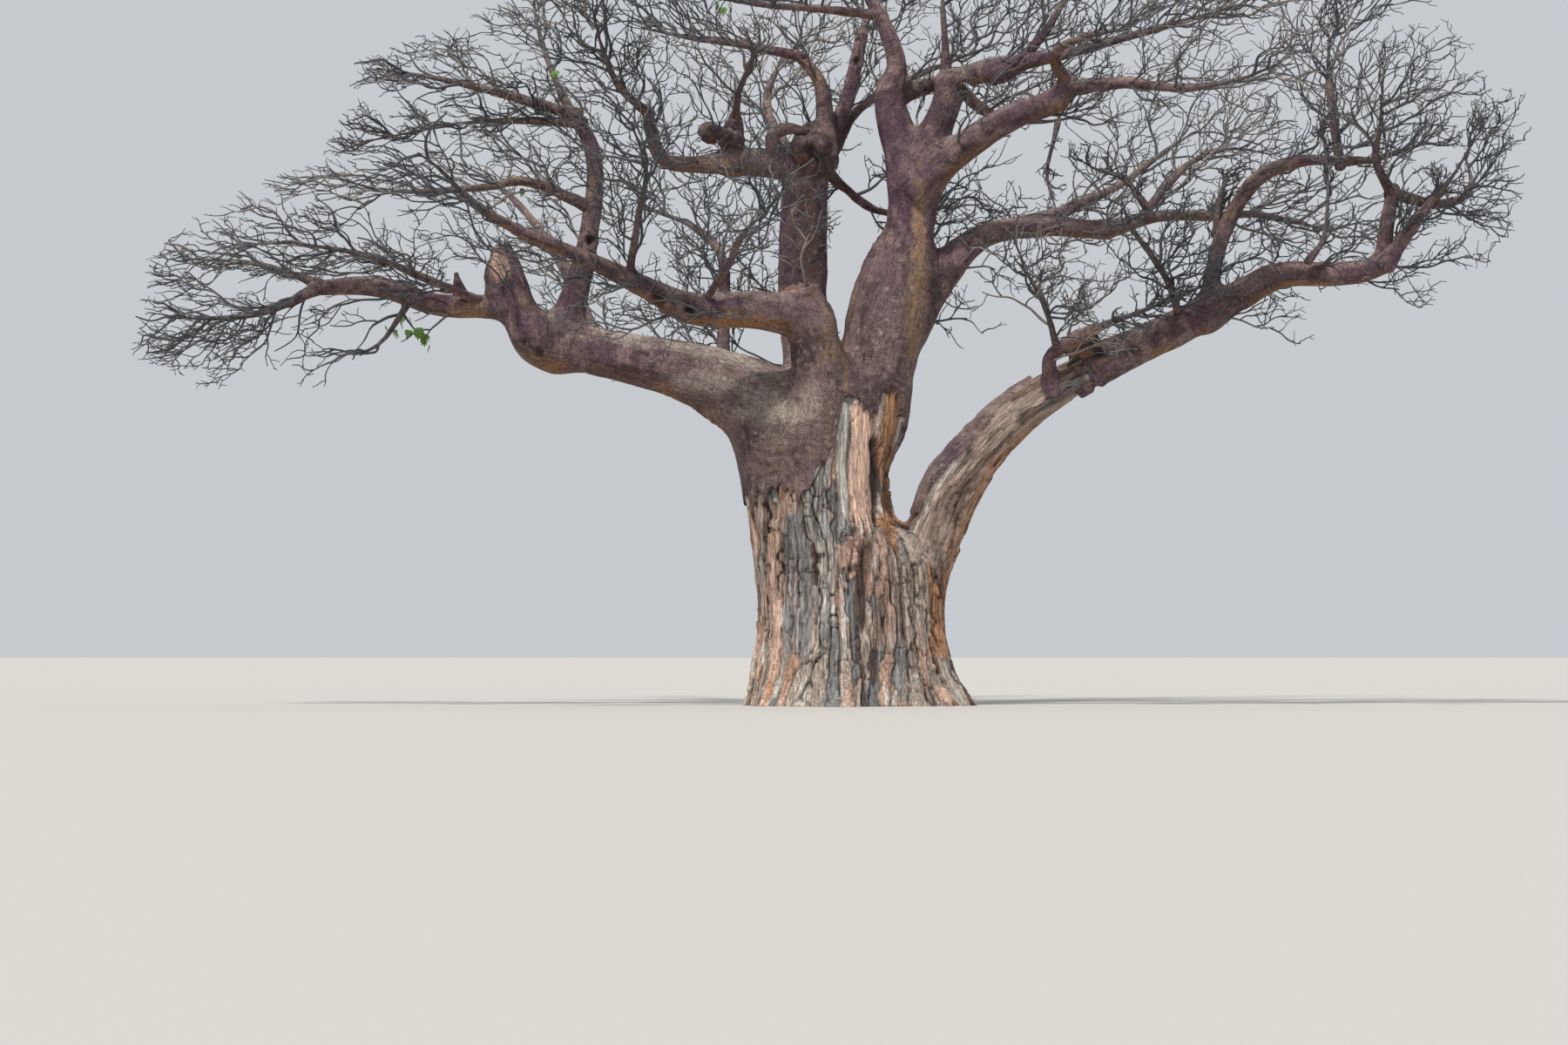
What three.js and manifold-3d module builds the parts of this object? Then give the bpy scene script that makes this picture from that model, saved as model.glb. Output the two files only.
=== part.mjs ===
// A baobab with a bare crown, rooted in level ground.
//
// Millimetres. X runs to the right of the view, Y away from it and Z up. The origin is on the ground
// under the middle of the trunk, in the flat cut there.
//
// The trunk is a fluted column that forks at about 6 m. The boughs are lofted limbs. Each spray of bare
// twigs is one stem with side twigs that branch by a seeded rule and keep to the stem's own space.

import * as THREE from "three";
import Module from "manifold-3d";

const wasm = await Module();
wasm.setup();
const { Manifold, Mesh } = wasm;

// Driving sizes.
const VIEWPOINT = new THREE.Vector3(-1170, -75000, 1080);
const JOINT_GAP = 0.3;
const SEWING_SIZE = 0.08;
const TRUNK_SIDES = 36;
const BOUGH_SIDES = 9;
const BOUGH_STEP = 950;
const STEM_SIDES = 4;
const STEM_STEP = 1100;
const TWIG_SIDES = 3;
const MEASURING_STEP = 500;

const UPRIGHT = new THREE.Vector3(0, 0, 1);
const NEARLY_UPRIGHT = 0.1;

// The twig rule: how many twigs, where they start along their parent, and how they leave it.
const CROWN_HEART = new THREE.Vector3(0, 0, 7600);
const SIDE_TWIGS = 10;
const FIRST_TWIG = 0.12;
const LAST_TWIG = 0.96;
const TWIGLETS = 2;
const FIRST_TWIGLET = 0.4;
const TURN_OF_A_TWIG = 2.4;
const EXTRA_TURN = 2;
const LEAST_SPREAD = 0.6;
const MORE_SPREAD = 0.55;
const FLATNESS = 0.75;
const OUTWARD_PULL = 0.35;

// Their length in parts of the mass's reach, their bend in parts of their length, and their thickness.
const LEAST_LENGTH = 0.75;
const MORE_LENGTH = 0.45;
const SHORTER_AT_THE_TIP = 0.35;
const TWIGLET_LENGTH = 0.55;
const SIDEWAYS_BEND = 0.16;
const UPWARD_BEND = 0.16;
const UPWARD_SHARE = 0.35;
const TWIG_THICKNESS = 62;
const TWIGLET_THICKNESS = 40;
const TWIG_TAPER = 0.6;

// A twig grows out of one face of its parent: how squarely it leaves that face at least, how far its root
// moves to the middle of that face, and how much of the face it may take.
const LEAST_FACING = 0.15;
const FACE_CENTRING = 0.35;
const FACE_SHARE = 0.5;

// The space that twigs leave free to other masses, to boughs and to twigs of their own mass.
const SPACE_MARGIN = 75;
const LIMB_MARGIN = 60;
const CROSSING_STEP = 150;
const CROSSING_GAP = 90;
const PLACES_TO_TEST = [0.3, 0.55, 0.8, 1];
const FREE_OF_THE_STEM = 0.5;

// The trunk from the ground to its fork: height, left edge, right edge, half of its depth.
const TRUNK_LEVELS = [
  [0, -1950, 2250, 2150],
  [250, -1880, 2130, 1980],
  [700, -1820, 1960, 1800],
  [1300, -1740, 1850, 1700],
  [2100, -1750, 1790, 1640],
  [2700, -1820, 1720, 1600],
  [3150, -1860, 1380, 1560],
  [3500, -1880, 900, 1520],
  [4100, -1960, 790, 1480],
  [4700, -2080, 820, 1450],
  [5200, -2020, 860, 1400],
  [5700, -1720, 940, 1280],
  [6150, -1250, 980, 1050],
  [6450, -780, 700, 650],
];
// Its flutes: how many go round, how deep they are in parts of the radius, and where they start.
const FLUTES = [
  [3, 0.035, 0.4],
  [5, 0.04, 2.1],
  [8, 0.03, 0.9],
];
const FLARE_OF_FLUTES = 1.3;
const FLARE_HEIGHT = 900;

// Boughs: name, then the middle line from root to tip. Each row is the place to the side, the height and
// the thickness as seen from the viewpoint in the trunk's plane, with how far the place lies behind that
// plane as its third number.
const BOUGHS = {
  bough_left: [
    [-400, 5000, 0, 1700], [-1170, 5530, -50, 1720], [-2000, 5970, -100, 1500],
    [-2900, 6350, -150, 1150], [-4170, 6650, -200, 960], [-5920, 7030, -300, 840],
  ],
  bough_left_low: [
    [-5800, 6980, -300, 800], [-6250, 7400, -320, 640], [-6600, 7600, -350, 470],
    [-7830, 7680, -400, 420], [-8950, 8020, -450, 390], [-10170, 8000, -500, 280],
  ],
  bough_left_stub: [
    [-5950, 7080, -420, 560], [-6220, 7750, -500, 510], [-6420, 8300, -520, 490], [-6620, 8790, -540, 400],
  ],
  bough_left_rise: [
    [-5500, 6800, -200, 820], [-5170, 7920, -100, 530], [-4930, 8920, 0, 390],
    [-4800, 10170, 150, 320], [-4900, 10800, 200, 290], [-5250, 11380, 250, 250],
  ],
  bough_front_base: [
    [-330, 5500, -600, 1150], [-420, 6170, -850, 1070], [-560, 6850, -1100, 970], [-800, 8020, -1350, 620],
  ],
  bough_front_arm: [
    [-650, 7380, -1250, 780], [-1670, 7570, -1600, 770], [-2920, 7600, -2100, 600],
    [-3700, 7950, -2500, 420], [-4830, 8500, -3100, 300], [-6330, 9120, -3900, 200],
  ],
  bough_centre: [
    [-500, 5700, 450, 1050], [-750, 6830, 600, 930], [-800, 8500, 700, 930],
    [-750, 10000, 650, 880], [-640, 10830, 600, 680],
  ],
  bough_centre_left: [
    [-850, 10350, 550, 620], [-2170, 10430, 300, 500], [-2830, 10380, 100, 340],
    [-3500, 10480, 0, 270], [-3820, 11450, -100, 200],
  ],
  bough_centre_shoot: [[-2150, 10350, 250, 430], [-2130, 11080, 300, 370], [-2110, 11300, 300, 240]],
  bough_centre_top: [
    [-330, 10450, 600, 440], [-370, 11170, 550, 370], [-500, 12000, 600, 250], [-920, 12500, 650, 180],
  ],
  bough_centre_right: [[-450, 10600, 800, 380], [0, 11500, 1000, 300], [330, 12870, 1300, 230]],
  bough_right_centre: [
    [450, 5500, 0, 1350], [700, 7000, 0, 1530], [870, 7750, 0, 1530],
    [1080, 8500, 0, 1330], [1250, 9170, 0, 970], [1330, 10330, 0, 900],
  ],
  bough_right_tall: [
    [1290, 10100, 0, 740], [970, 11080, -100, 700], [850, 11750, -150, 560],
    [1000, 12250, -150, 400], [750, 13080, -100, 300], [580, 13420, -50, 230],
  ],
  bough_right_stub: [
    [1400, 10050, -150, 740], [1700, 10920, -250, 600], [1900, 11420, -300, 570], [2130, 12130, -350, 540],
  ],
  bough_right_high: [
    [1950, 11950, -350, 400], [2830, 12230, -450, 430], [3330, 12330, -550, 330],
    [4330, 12530, -900, 220], [5000, 12720, -1200, 180],
  ],
  bough_right_fork: [
    [1450, 9950, -200, 640], [2170, 10630, -500, 570], [3170, 11280, -900, 500],
    [4080, 11630, -1400, 460], [4320, 11900, -1500, 380],
  ],
  bough_right_mid: [
    [1200, 7300, 200, 800], [1920, 8370, 350, 700], [2670, 9000, 600, 470], [3830, 9180, 900, 400],
    [5000, 9130, 1200, 330], [6000, 9380, 1500, 230], [7330, 9380, 1900, 180],
  ],
  bough_right_low: [
    [1250, 1200, 0, 700], [1500, 2400, 0, 980], [1680, 3200, 0, 1240], [2130, 4250, -50, 1200],
    [3250, 5530, -150, 970], [4670, 6430, -250, 800], [6330, 7220, -350, 700], [7080, 7580, -400, 660],
  ],
  bough_right_end: [
    [6950, 7520, -400, 590], [7670, 7920, -420, 580], [8300, 8230, -450, 510],
    [9400, 8270, -550, 440], [10080, 8370, -600, 430], [10380, 8600, -600, 390],
  ],
  bough_right_end_up: [[10350, 8450, -550, 340], [10380, 9080, -600, 300], [10530, 9900, -550, 240]],
  bough_right_rise: [
    [6950, 7400, -380, 460], [7060, 8300, -300, 320], [7280, 9100, -200, 300],
    [7920, 10100, -100, 280], [8670, 10430, 0, 250], [9670, 10450, 100, 170],
  ],
  bough_right_burl: [
    [3950, 6050, -450, 320], [3950, 6700, -800, 230], [4500, 7070, -950, 210], [4800, 7220, -1000, 190],
  ],
  bough_back_centre: [
    [-450, 5800, 800, 800], [-800, 7500, 1700, 520], [-850, 9200, 2700, 400], [-1100, 10600, 3900, 280],
  ],
  bough_back_right: [
    [500, 5600, 700, 850], [1100, 7400, 1600, 560], [1950, 8400, 2700, 430],
    [2700, 9000, 3700, 340], [4300, 9500, 5600, 220],
  ],
  bough_back_left: [
    [-1000, 5500, 700, 850], [-2200, 6250, 1600, 600], [-3400, 6600, 2700, 480],
    [-4700, 6950, 4000, 380], [-5300, 8300, 5200, 260],
  ],
};

// Masses of bare twigs: how far the side twigs reach, how much they rise, and the stem's rows.
const MASSES = {
  twigs_left_low_tip: { reach: 1600, rise: -0.3, rows: [
    [-10100, 7990, -500, 240], [-11170, 7520, -600, 120], [-12000, 7420, -700, 100], [-13000, 7420, -900, 60],
  ] },
  twigs_left_low_rise: { reach: 1600, rise: 0, rows: [
    [-10080, 8040, -500, 200], [-10420, 8200, -400, 130], [-11330, 8470, -100, 90], [-12700, 8560, 300, 60],
  ] },
  twigs_left_low_under: { reach: 1400, rise: -0.4, rows: [
    [-8300, 7850, -450, 150], [-8600, 7350, -900, 110], [-8900, 6950, -1500, 80], [-9300, 6700, -2100, 50],
  ] },
  twigs_left_low_over: { reach: 1700, rise: 0.1, rows: [
    [-6750, 7640, -350, 200], [-8000, 8170, -1100, 150], [-9170, 8620, -1900, 120], [-10800, 8900, -2800, 70],
  ] },
  twigs_left_shelf: { reach: 1800, rise: 0.05, rows: [
    [-4900, 9550, 50, 240], [-6080, 10050, -400, 180], [-7000, 9930, -1000, 150],
    [-8800, 9870, -1800, 90], [-9700, 10100, -2300, 60],
  ] },
  twigs_left_top: { reach: 1800, rise: 0.1, rows: [
    [-5200, 11340, 240, 230], [-6500, 11720, 300, 170], [-7500, 11970, 400, 130], [-9000, 12230, 600, 70],
  ] },
  twigs_left_crest: { reach: 1700, rise: 0.3, rows: [
    [-5220, 11300, 240, 180], [-5600, 12100, 800, 130], [-5900, 13000, 1300, 90], [-6000, 13500, 1600, 60],
  ] },
  twigs_front_tip: { reach: 1700, rise: 0, rows: [
    [-6250, 9090, -3860, 190], [-7100, 9600, -4500, 150],
    [-7800, 10300, -5300, 90], [-8200, 10600, -6000, 60],
  ] },
  twigs_front_up: { reach: 1700, rise: 0.2, rows: [
    [-4150, 8200, -2760, 160], [-3950, 9450, -3600, 130],
    [-3820, 10250, -4500, 100], [-4100, 11200, -5500, 60],
  ] },
  twigs_front_riser: { reach: 1720, rise: 0.2, rows: [
    [-2750, 7650, -2050, 180], [-2230, 8450, -3000, 150], [-2000, 8970, -4000, 130], [-1500, 9500, -5400, 70],
  ] },
  twigs_behind_left: { reach: 1660, rise: 0.2, rows: [
    [-2350, 6200, 50, 260], [-2330, 7400, 900, 240], [-2360, 8580, 1600, 190],
    [-2920, 9180, 2560, 140], [-3900, 9550, 3700, 80],
  ] },
  twigs_centre_left: { reach: 1600, rise: 0.2, rows: [
    [-3800, 11380, -90, 180], [-4350, 11900, -900, 140], [-4670, 12650, -1900, 90], [-4800, 13100, -2600, 60],
  ] },
  twigs_centre_shoot: { reach: 1400, rise: 0.3, rows: [
    [-2110, 11250, 300, 150], [-2030, 11800, -300, 120], [-1770, 12470, -1300, 90], [-1900, 13000, -2200, 60],
  ] },
  twigs_centre_top: { reach: 1700, rise: 0.2, rows: [
    [-850, 12460, 640, 170], [-2000, 12700, 1000, 150], [-2830, 12800, 1500, 120], [-3900, 13000, 2200, 60],
  ] },
  twigs_centre_right: { reach: 1500, rise: 0.3, rows: [
    [310, 12800, 1290, 200], [430, 13200, 1900, 140], [500, 13500, 2900, 70],
  ] },
  twigs_behind_right: { reach: 1700, rise: 0.1, rows: [
    [-200, 10700, 1000, 240], [170, 11330, 1400, 180], [800, 11800, 2200, 160],
    [1900, 12300, 3400, 100], [2900, 12700, 4500, 60],
  ] },
  twigs_behind_low: { reach: 1650, rise: 0, rows: [
    [-450, 10350, 900, 230], [-20, 9930, 1250, 180], [580, 9500, 1700, 150],
    [1700, 9500, 2900, 90], [2400, 9800, 4200, 60],
  ] },
  twigs_crown_top: { reach: 1500, rise: 0.3, rows: [
    [600, 13360, -60, 190], [420, 13750, 100, 140], [900, 14050, 300, 90], [1500, 14200, 400, 60],
  ] },
  twigs_crown_left: { reach: 1700, rise: 0.2, rows: [
    [660, 13250, -90, 200], [-500, 13380, -800, 150], [-1530, 13450, -1700, 120], [-2600, 13600, -2900, 60],
  ] },
  twigs_tall_arm: { reach: 1700, rise: 0, rows: [
    [900, 11650, 50, 360], [1970, 11950, 500, 300], [2700, 11400, 1300, 200],
    [3700, 11200, 2300, 110], [4500, 11300, 3200, 60],
  ] },
  twigs_right_high: { reach: 1700, rise: 0.2, rows: [
    [4900, 12690, -1150, 170], [5670, 12900, -1300, 150], [6700, 13200, -1400, 90], [7500, 13400, -1500, 60],
  ] },
  twigs_right_crest: { reach: 1660, rise: 0.3, rows: [
    [3340, 12310, -550, 230], [3900, 13000, -450, 180], [4200, 13500, 0, 120], [4700, 13900, 600, 70],
  ] },
  twigs_right_shelf: { reach: 1750, rise: 0, rows: [
    [4280, 11850, -1490, 300], [5330, 11950, -2100, 220], [6500, 11850, -2900, 170],
    [7670, 12050, -3700, 100], [8300, 12300, -4300, 60],
  ] },
  twigs_right_up: { reach: 1700, rise: 0.1, rows: [
    [4300, 11860, -1490, 270], [4030, 12500, -2200, 190], [4670, 12850, -3200, 150], [5500, 13000, -4700, 60],
  ] },
  twigs_right_mid_tip: { reach: 1600, rise: 0, rows: [
    [7250, 9380, 1880, 170], [7830, 9420, 2100, 140], [8500, 9300, 2600, 110], [9300, 9100, 3300, 60],
  ] },
  twigs_right_mid_up: { reach: 1700, rise: 0.2, rows: [
    [5650, 9300, 1400, 200], [6130, 9900, 1800, 170], [6700, 10450, 2500, 130], [7500, 10700, 3500, 70],
  ] },
  twigs_right_end_up: { reach: 1600, rise: 0.2, rows: [
    [10500, 9820, -560, 200], [10200, 10430, -900, 150],
    [10300, 11200, -1500, 100], [10300, 11700, -2200, 60],
  ] },
  twigs_right_tip: { reach: 1500, rise: 0.1, rows: [
    [10520, 9800, -550, 230], [11500, 9620, -400, 200], [12000, 9900, -200, 130], [11900, 10600, 100, 70],
  ] },
  twigs_right_shoot: { reach: 1800, rise: 0.3, rows: [
    [9500, 10400, 90, 190], [9380, 11250, 200, 180], [9300, 12000, 400, 130], [9300, 12900, 700, 70],
  ] },
  twigs_right_inner: { reach: 1450, rise: 0.2, rows: [
    [6450, 7300, -350, 160], [6170, 8170, -1100, 130], [5520, 9130, -2200, 100], [5300, 9700, -3200, 60],
  ] },
  twigs_burl: { reach: 1400, rise: 0.2, rows: [
    [4080, 6800, -830, 150], [3880, 7500, -1500, 110], [3600, 8100, -2300, 80], [3300, 8500, -3200, 50],
  ] },
  twigs_back_centre: { reach: 2100, rise: 0.2, rows: [
    [-1090, 10550, 3860, 260], [-1500, 11500, 4900, 180], [-1300, 12200, 6000, 110], [-900, 12700, 6900, 60],
  ] },
  twigs_back_right: { reach: 2100, rise: 0.1, rows: [
    [4200, 9470, 5480, 210], [5300, 10000, 6300, 150], [6100, 10600, 7000, 100], [6700, 11000, 7700, 60],
  ] },
  twigs_back_left: { reach: 2100, rise: 0.1, rows: [
    [-5250, 8200, 5120, 240], [-6000, 9300, 6000, 160], [-6700, 10000, 6700, 100], [-7400, 10400, 7400, 60],
  ] },
};

// A row of a table as a place and a thickness. What lies off the trunk's plane is scaled about the
// viewpoint by its share of the viewing distance.
function placeRow([side, height, back, thickness]) {
  const share = (back - VIEWPOINT.y) / -VIEWPOINT.y;
  const place = new THREE.Vector3(side, 0, height).sub(VIEWPOINT).multiplyScalar(share).add(VIEWPOINT);
  return { place, thickness: thickness * share };
}

// A limb's middle line, as a smooth curve through its rows, with its thickness along it.
function middleLine(rows) {
  const placed = rows.map(placeRow);
  const curve = new THREE.CatmullRomCurve3(placed.map((row) => row.place), false, "centripetal");
  const thicknessAt = (share) => {
    const row = share * (placed.length - 1);
    const lower = Math.min(Math.floor(row), placed.length - 2);
    return THREE.MathUtils.lerp(placed[lower].thickness, placed[lower + 1].thickness, row - lower);
  };
  return { curve, thicknessAt, length: curve.getLength() };
}

// A closed skin over rings of points. The rings have equal numbers of points, and each end is closed by
// a fan to its middle point.
function skinRings(rings, firstMiddle, lastMiddle) {
  const sides = rings[0].length;
  const points = rings.flat().concat([firstMiddle, lastMiddle]);
  const first = points.length - 2;
  const last = points.length - 1;
  const triangles = [];
  for (let ring = 0; ring + 1 < rings.length; ring += 1) {
    for (let side = 0; side < sides; side += 1) {
      const a = ring * sides + side;
      const b = ring * sides + ((side + 1) % sides);
      triangles.push(a, b, b + sides, a, b + sides, a + sides);
    }
  }
  const lastRing = (rings.length - 1) * sides;
  for (let side = 0; side < sides; side += 1) {
    const next = (side + 1) % sides;
    triangles.push(first, next, side);
    triangles.push(last, lastRing + side, lastRing + next);
  }
  return solidFrom(points, triangles);
}

function solidFrom(points, triangles) {
  return new Manifold(new Mesh({
    numProp: 3,
    vertProperties: new Float32Array(points.flatMap((point) => [point.x, point.y, point.z])),
    triVerts: new Uint32Array(triangles),
  }));
}

// A round tapering limb along a curve. With a grown size it is that much fatter and longer.
function limbSolid(line, sides, step, grown = 0) {
  const steps = Math.max(2, Math.round(line.length / step));
  const frames = line.curve.computeFrenetFrames(steps);
  const rings = [];
  const middles = [];
  for (let index = 0; index <= steps; index += 1) {
    const share = line.curve.getUtoTmapping(index / steps, 0);
    const middle = line.curve.getPoint(share);
    const radius = line.thicknessAt(share) / 2 + grown;
    if (index === 0) middle.addScaledVector(frames.tangents[0], -grown);
    if (index === steps) middle.addScaledVector(frames.tangents[steps], grown);
    middles.push(middle);
    rings.push(ringAround(middle, frames.normals[index], frames.binormals[index], radius, sides));
  }
  return skinRings(rings, middles[0], middles[steps]);
}

function ringAround(middle, normal, binormal, radius, sides) {
  const ring = [];
  for (let side = 0; side < sides; side += 1) {
    const angle = (2 * Math.PI * side) / sides;
    const point = middle.clone();
    point.addScaledVector(normal, radius * Math.cos(angle));
    point.addScaledVector(binormal, radius * Math.sin(angle));
    ring.push(point);
  }
  return ring;
}

// The trunk: an oval at each level, with flutes that are deepest at the root flare.
function trunkSolid(grown = 0) {
  const rings = TRUNK_LEVELS.map(([height, left, right, depth]) => {
    const middle = (left + right) / 2;
    const width = (right - left) / 2;
    const flare = 1 + FLARE_OF_FLUTES * Math.exp(-height / FLARE_HEIGHT);
    const ring = [];
    for (let side = 0; side < TRUNK_SIDES; side += 1) {
      const angle = (2 * Math.PI * side) / TRUNK_SIDES;
      let flute = 1;
      for (const [count, deep, start] of FLUTES) {
        flute += deep * flare * Math.cos(count * angle + start);
      }
      const across = width * flute + grown;
      const along = depth * flute + grown;
      const level = height === 0 ? -grown : height;
      ring.push(new THREE.Vector3(middle + across * Math.cos(angle), along * Math.sin(angle), level));
    }
    return ring;
  });
  const [topHeight, topLeft, topRight] = TRUNK_LEVELS.at(-1);
  const [footHeight, footLeft, footRight] = TRUNK_LEVELS[0];
  const foot = new THREE.Vector3((footLeft + footRight) / 2, 0, footHeight - grown);
  const top = new THREE.Vector3((topLeft + topRight) / 2, 0, topHeight + grown);
  return skinRings(rings, foot, top);
}

// A number from 0 to 1 that depends only on a twig's own number and on which question is asked of it.
function chance(number, question) {
  let bits = Math.imul(number ^ Math.imul(question, 0x9e3779b1), 0x85ebca6b);
  bits = Math.imul(bits ^ (bits >>> 13), 0xc2b2ae35);
  bits ^= bits >>> 16;
  return (bits >>> 0) / 4294967296;
}

function childNumber(number, index) {
  return (Math.imul(number, 0x01000193) ^ Math.imul(index + 1, 0x27d4eb2f)) >>> 0;
}

// One twig: it leaves its parent at an angle, turned round the parent by a fixed angle from the twig
// before it, then is flattened, lifted by the mass's rise and pulled away from the crown's heart.
function branchOff(parent, number, index, share, reach, rise) {
  const along = parent.directionAt(share);
  const side = UPRIGHT.clone().cross(along);
  if (side.length() < NEARLY_UPRIGHT) side.set(1, 0, 0);
  side.normalize();
  const over = along.clone().cross(side).normalize();
  const turn = index * TURN_OF_A_TWIG + EXTRA_TURN * chance(number, 1);
  const spread = LEAST_SPREAD + MORE_SPREAD * chance(number, 2);
  const heading = along.clone().multiplyScalar(Math.cos(spread));
  heading.addScaledVector(side, Math.sin(spread) * Math.cos(turn));
  heading.addScaledVector(over, Math.sin(spread) * Math.sin(turn) * FLATNESS);
  const from = parent.placeAt(share);
  const outward = from.clone().sub(CROWN_HEART).normalize();
  heading.addScaledVector(outward, OUTWARD_PULL);
  heading.z += rise;
  heading.normalize();
  const length = reach * (LEAST_LENGTH + MORE_LENGTH * chance(number, 3)) * (1 - SHORTER_AT_THE_TIP * share);
  const bend = UPRIGHT.clone().cross(heading).multiplyScalar(SIDEWAYS_BEND * (2 * chance(number, 4) - 1));
  bend.z += UPWARD_BEND * (chance(number, 5) - UPWARD_SHARE);
  bend.multiplyScalar(length);
  return makeTwig(number, from, heading, length, bend);
}

function makeTwig(number, from, heading, length, bend) {
  const placeAt = (share) => from.clone()
    .addScaledVector(heading, length * share)
    .addScaledVector(bend, share * share);
  const directionAt = (share) => heading.clone().multiplyScalar(length)
    .addScaledVector(bend, 2 * share)
    .normalize();
  return { number, length, placeAt, directionAt };
}

function stemAsParent(line, number) {
  return {
    number,
    length: line.length,
    placeAt: (share) => line.curve.getPointAt(share),
    directionAt: (share) => line.curve.getTangentAt(share),
  };
}

// How near a place is to a limb's middle line, and how near to the limb's surface.
function distanceTo(limb, place) {
  let middle = Infinity;
  let surface = Infinity;
  const nearest = new THREE.Vector3();
  for (const { segment, thickness } of limb.pieces) {
    segment.closestPointToPoint(place, true, nearest);
    const distance = nearest.distanceTo(place);
    middle = Math.min(middle, distance);
    surface = Math.min(surface, distance - thickness / 2);
  }
  return { middle, surface };
}

function measurable(line) {
  const steps = Math.ceil(line.length / MEASURING_STEP);
  const pieces = [];
  for (let index = 0; index < steps; index += 1) {
    const start = line.curve.getPoint(index / steps);
    const end = line.curve.getPoint((index + 1) / steps);
    const thickness = Math.max(line.thicknessAt(index / steps), line.thicknessAt((index + 1) / steps));
    pieces.push({ segment: new THREE.Line3(start, end), thickness });
  }
  return { pieces };
}

// Whether a twig stays nearer to its own stem than to any other, and its outer half clear of that stem,
// and all of it clear of every bough.
function keepsItsSpace(twig, own, stems, boughs) {
  for (const share of PLACES_TO_TEST) {
    const place = twig.placeAt(share);
    const home = distanceTo(own, place);
    if (share > FREE_OF_THE_STEM && home.surface < LIMB_MARGIN) return false;
    if (boughs.some((bough) => distanceTo(bough, place).surface < LIMB_MARGIN)) return false;
    const isForeign = (stem) => stem !== own && distanceTo(stem, place).middle < home.middle + SPACE_MARGIN;
    if (stems.some(isForeign)) return false;
  }
  return true;
}

// A skin that twigs can be grown out of: its points, and the faces of each tube.
function stemSkin(line) {
  const steps = Math.max(3, Math.round(line.length / STEM_STEP));
  const frames = line.curve.computeFrenetFrames(steps);
  const skin = { points: [], faces: new Set() };
  const rings = [];
  for (let index = 0; index < steps; index += 1) {
    const share = line.curve.getUtoTmapping(index / steps, 0);
    const radius = line.thicknessAt(share) / 2;
    const middle = line.curve.getPoint(share);
    const ring = ringAround(middle, frames.normals[index], frames.binormals[index], radius, STEM_SIDES);
    rings.push(addPoints(skin, ring));
  }
  const [root] = addPoints(skin, [line.curve.getPoint(0)]);
  const faces = rings[0].map((corner, side) => [root, rings[0][(side + 1) % STEM_SIDES], corner]);
  faces.push(...tubeFaces(skin, rings, line.curve.getPoint(1)));
  faces.forEach((face) => skin.faces.add(face));
  return { skin, faces: faces.slice(STEM_SIDES) };
}

function addPoints(skin, points) {
  return points.map((point) => skin.points.push(point) - 1);
}

// The faces that join rings of equal size, and the last ring to its tip.
function tubeFaces(skin, rings, tip) {
  const sides = rings[0].length;
  const faces = [];
  for (let ring = 0; ring + 1 < rings.length; ring += 1) {
    for (let side = 0; side < sides; side += 1) {
      const next = (side + 1) % sides;
      faces.push([rings[ring][side], rings[ring][next], rings[ring + 1][next]]);
      faces.push([rings[ring][side], rings[ring + 1][next], rings[ring + 1][side]]);
    }
  }
  const [end] = addPoints(skin, [tip]);
  const last = rings.at(-1);
  last.forEach((corner, side) => faces.push([corner, last[(side + 1) % sides], end]));
  return faces;
}

// Opens a small triangle in the face of the parent that the twig leaves through, and returns its corners.
function openFace(skin, parentFaces, twig, radius) {
  const ray = new THREE.Ray(twig.placeAt(0), twig.directionAt(0));
  const hit = new THREE.Vector3();
  const trial = new THREE.Vector3();
  const normal = new THREE.Vector3();
  let face = null;
  for (const one of parentFaces) {
    const corners = one.map((corner) => skin.points[corner]);
    THREE.Triangle.getNormal(...corners, normal);
    if (normal.dot(ray.direction) < LEAST_FACING) continue;
    if (ray.intersectTriangle(...corners, false, trial) === null) continue;
    if (face !== null && trial.distanceTo(ray.origin) > hit.distanceTo(ray.origin)) continue;
    face = one;
    hit.copy(trial);
  }
  if (face === null) return null;
  const corners = face.map((corner) => skin.points[corner]);
  const centre = corners[0].clone().add(corners[1]).add(corners[2]).divideScalar(3);
  hit.lerp(centre, FACE_CENTRING);
  const inner = addPoints(skin, corners.map((corner) => {
    const away = corner.clone().sub(hit);
    return hit.clone().addScaledVector(away, Math.min(FACE_SHARE, radius / away.length()));
  }));
  const around = [0, 1, 2].flatMap((side) => {
    const next = (side + 1) % 3;
    return [[face[side], face[next], inner[next]], [face[side], inner[next], inner[side]]];
  });
  parentFaces.splice(parentFaces.indexOf(face), 1, ...around);
  skin.faces.delete(face);
  around.forEach((part) => skin.faces.add(part));
  return inner;
}

// The way to a ring's first corner, square to the twig, at which all its corners best follow the corners
// of the twig's base, so that the walls between them aren't twisted.
function bestNormal(corners, along) {
  const middle = new THREE.Vector3();
  corners.forEach((corner) => middle.addScaledVector(corner, 1 / corners.length));
  const normal = corners[0].clone().sub(middle);
  normal.addScaledVector(along, -normal.dot(along)).normalize();
  const binormal = along.clone().cross(normal);
  let alongNormal = 0;
  let alongBinormal = 0;
  corners.forEach((corner, side) => {
    const away = corner.clone().sub(middle);
    const angle = (2 * Math.PI * side) / corners.length;
    const across = away.dot(normal);
    const over = away.dot(binormal);
    alongNormal += across * Math.cos(angle) + over * Math.sin(angle);
    alongBinormal += over * Math.cos(angle) - across * Math.sin(angle);
  });
  return normal.multiplyScalar(alongNormal).addScaledVector(binormal, alongBinormal).normalize();
}

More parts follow.
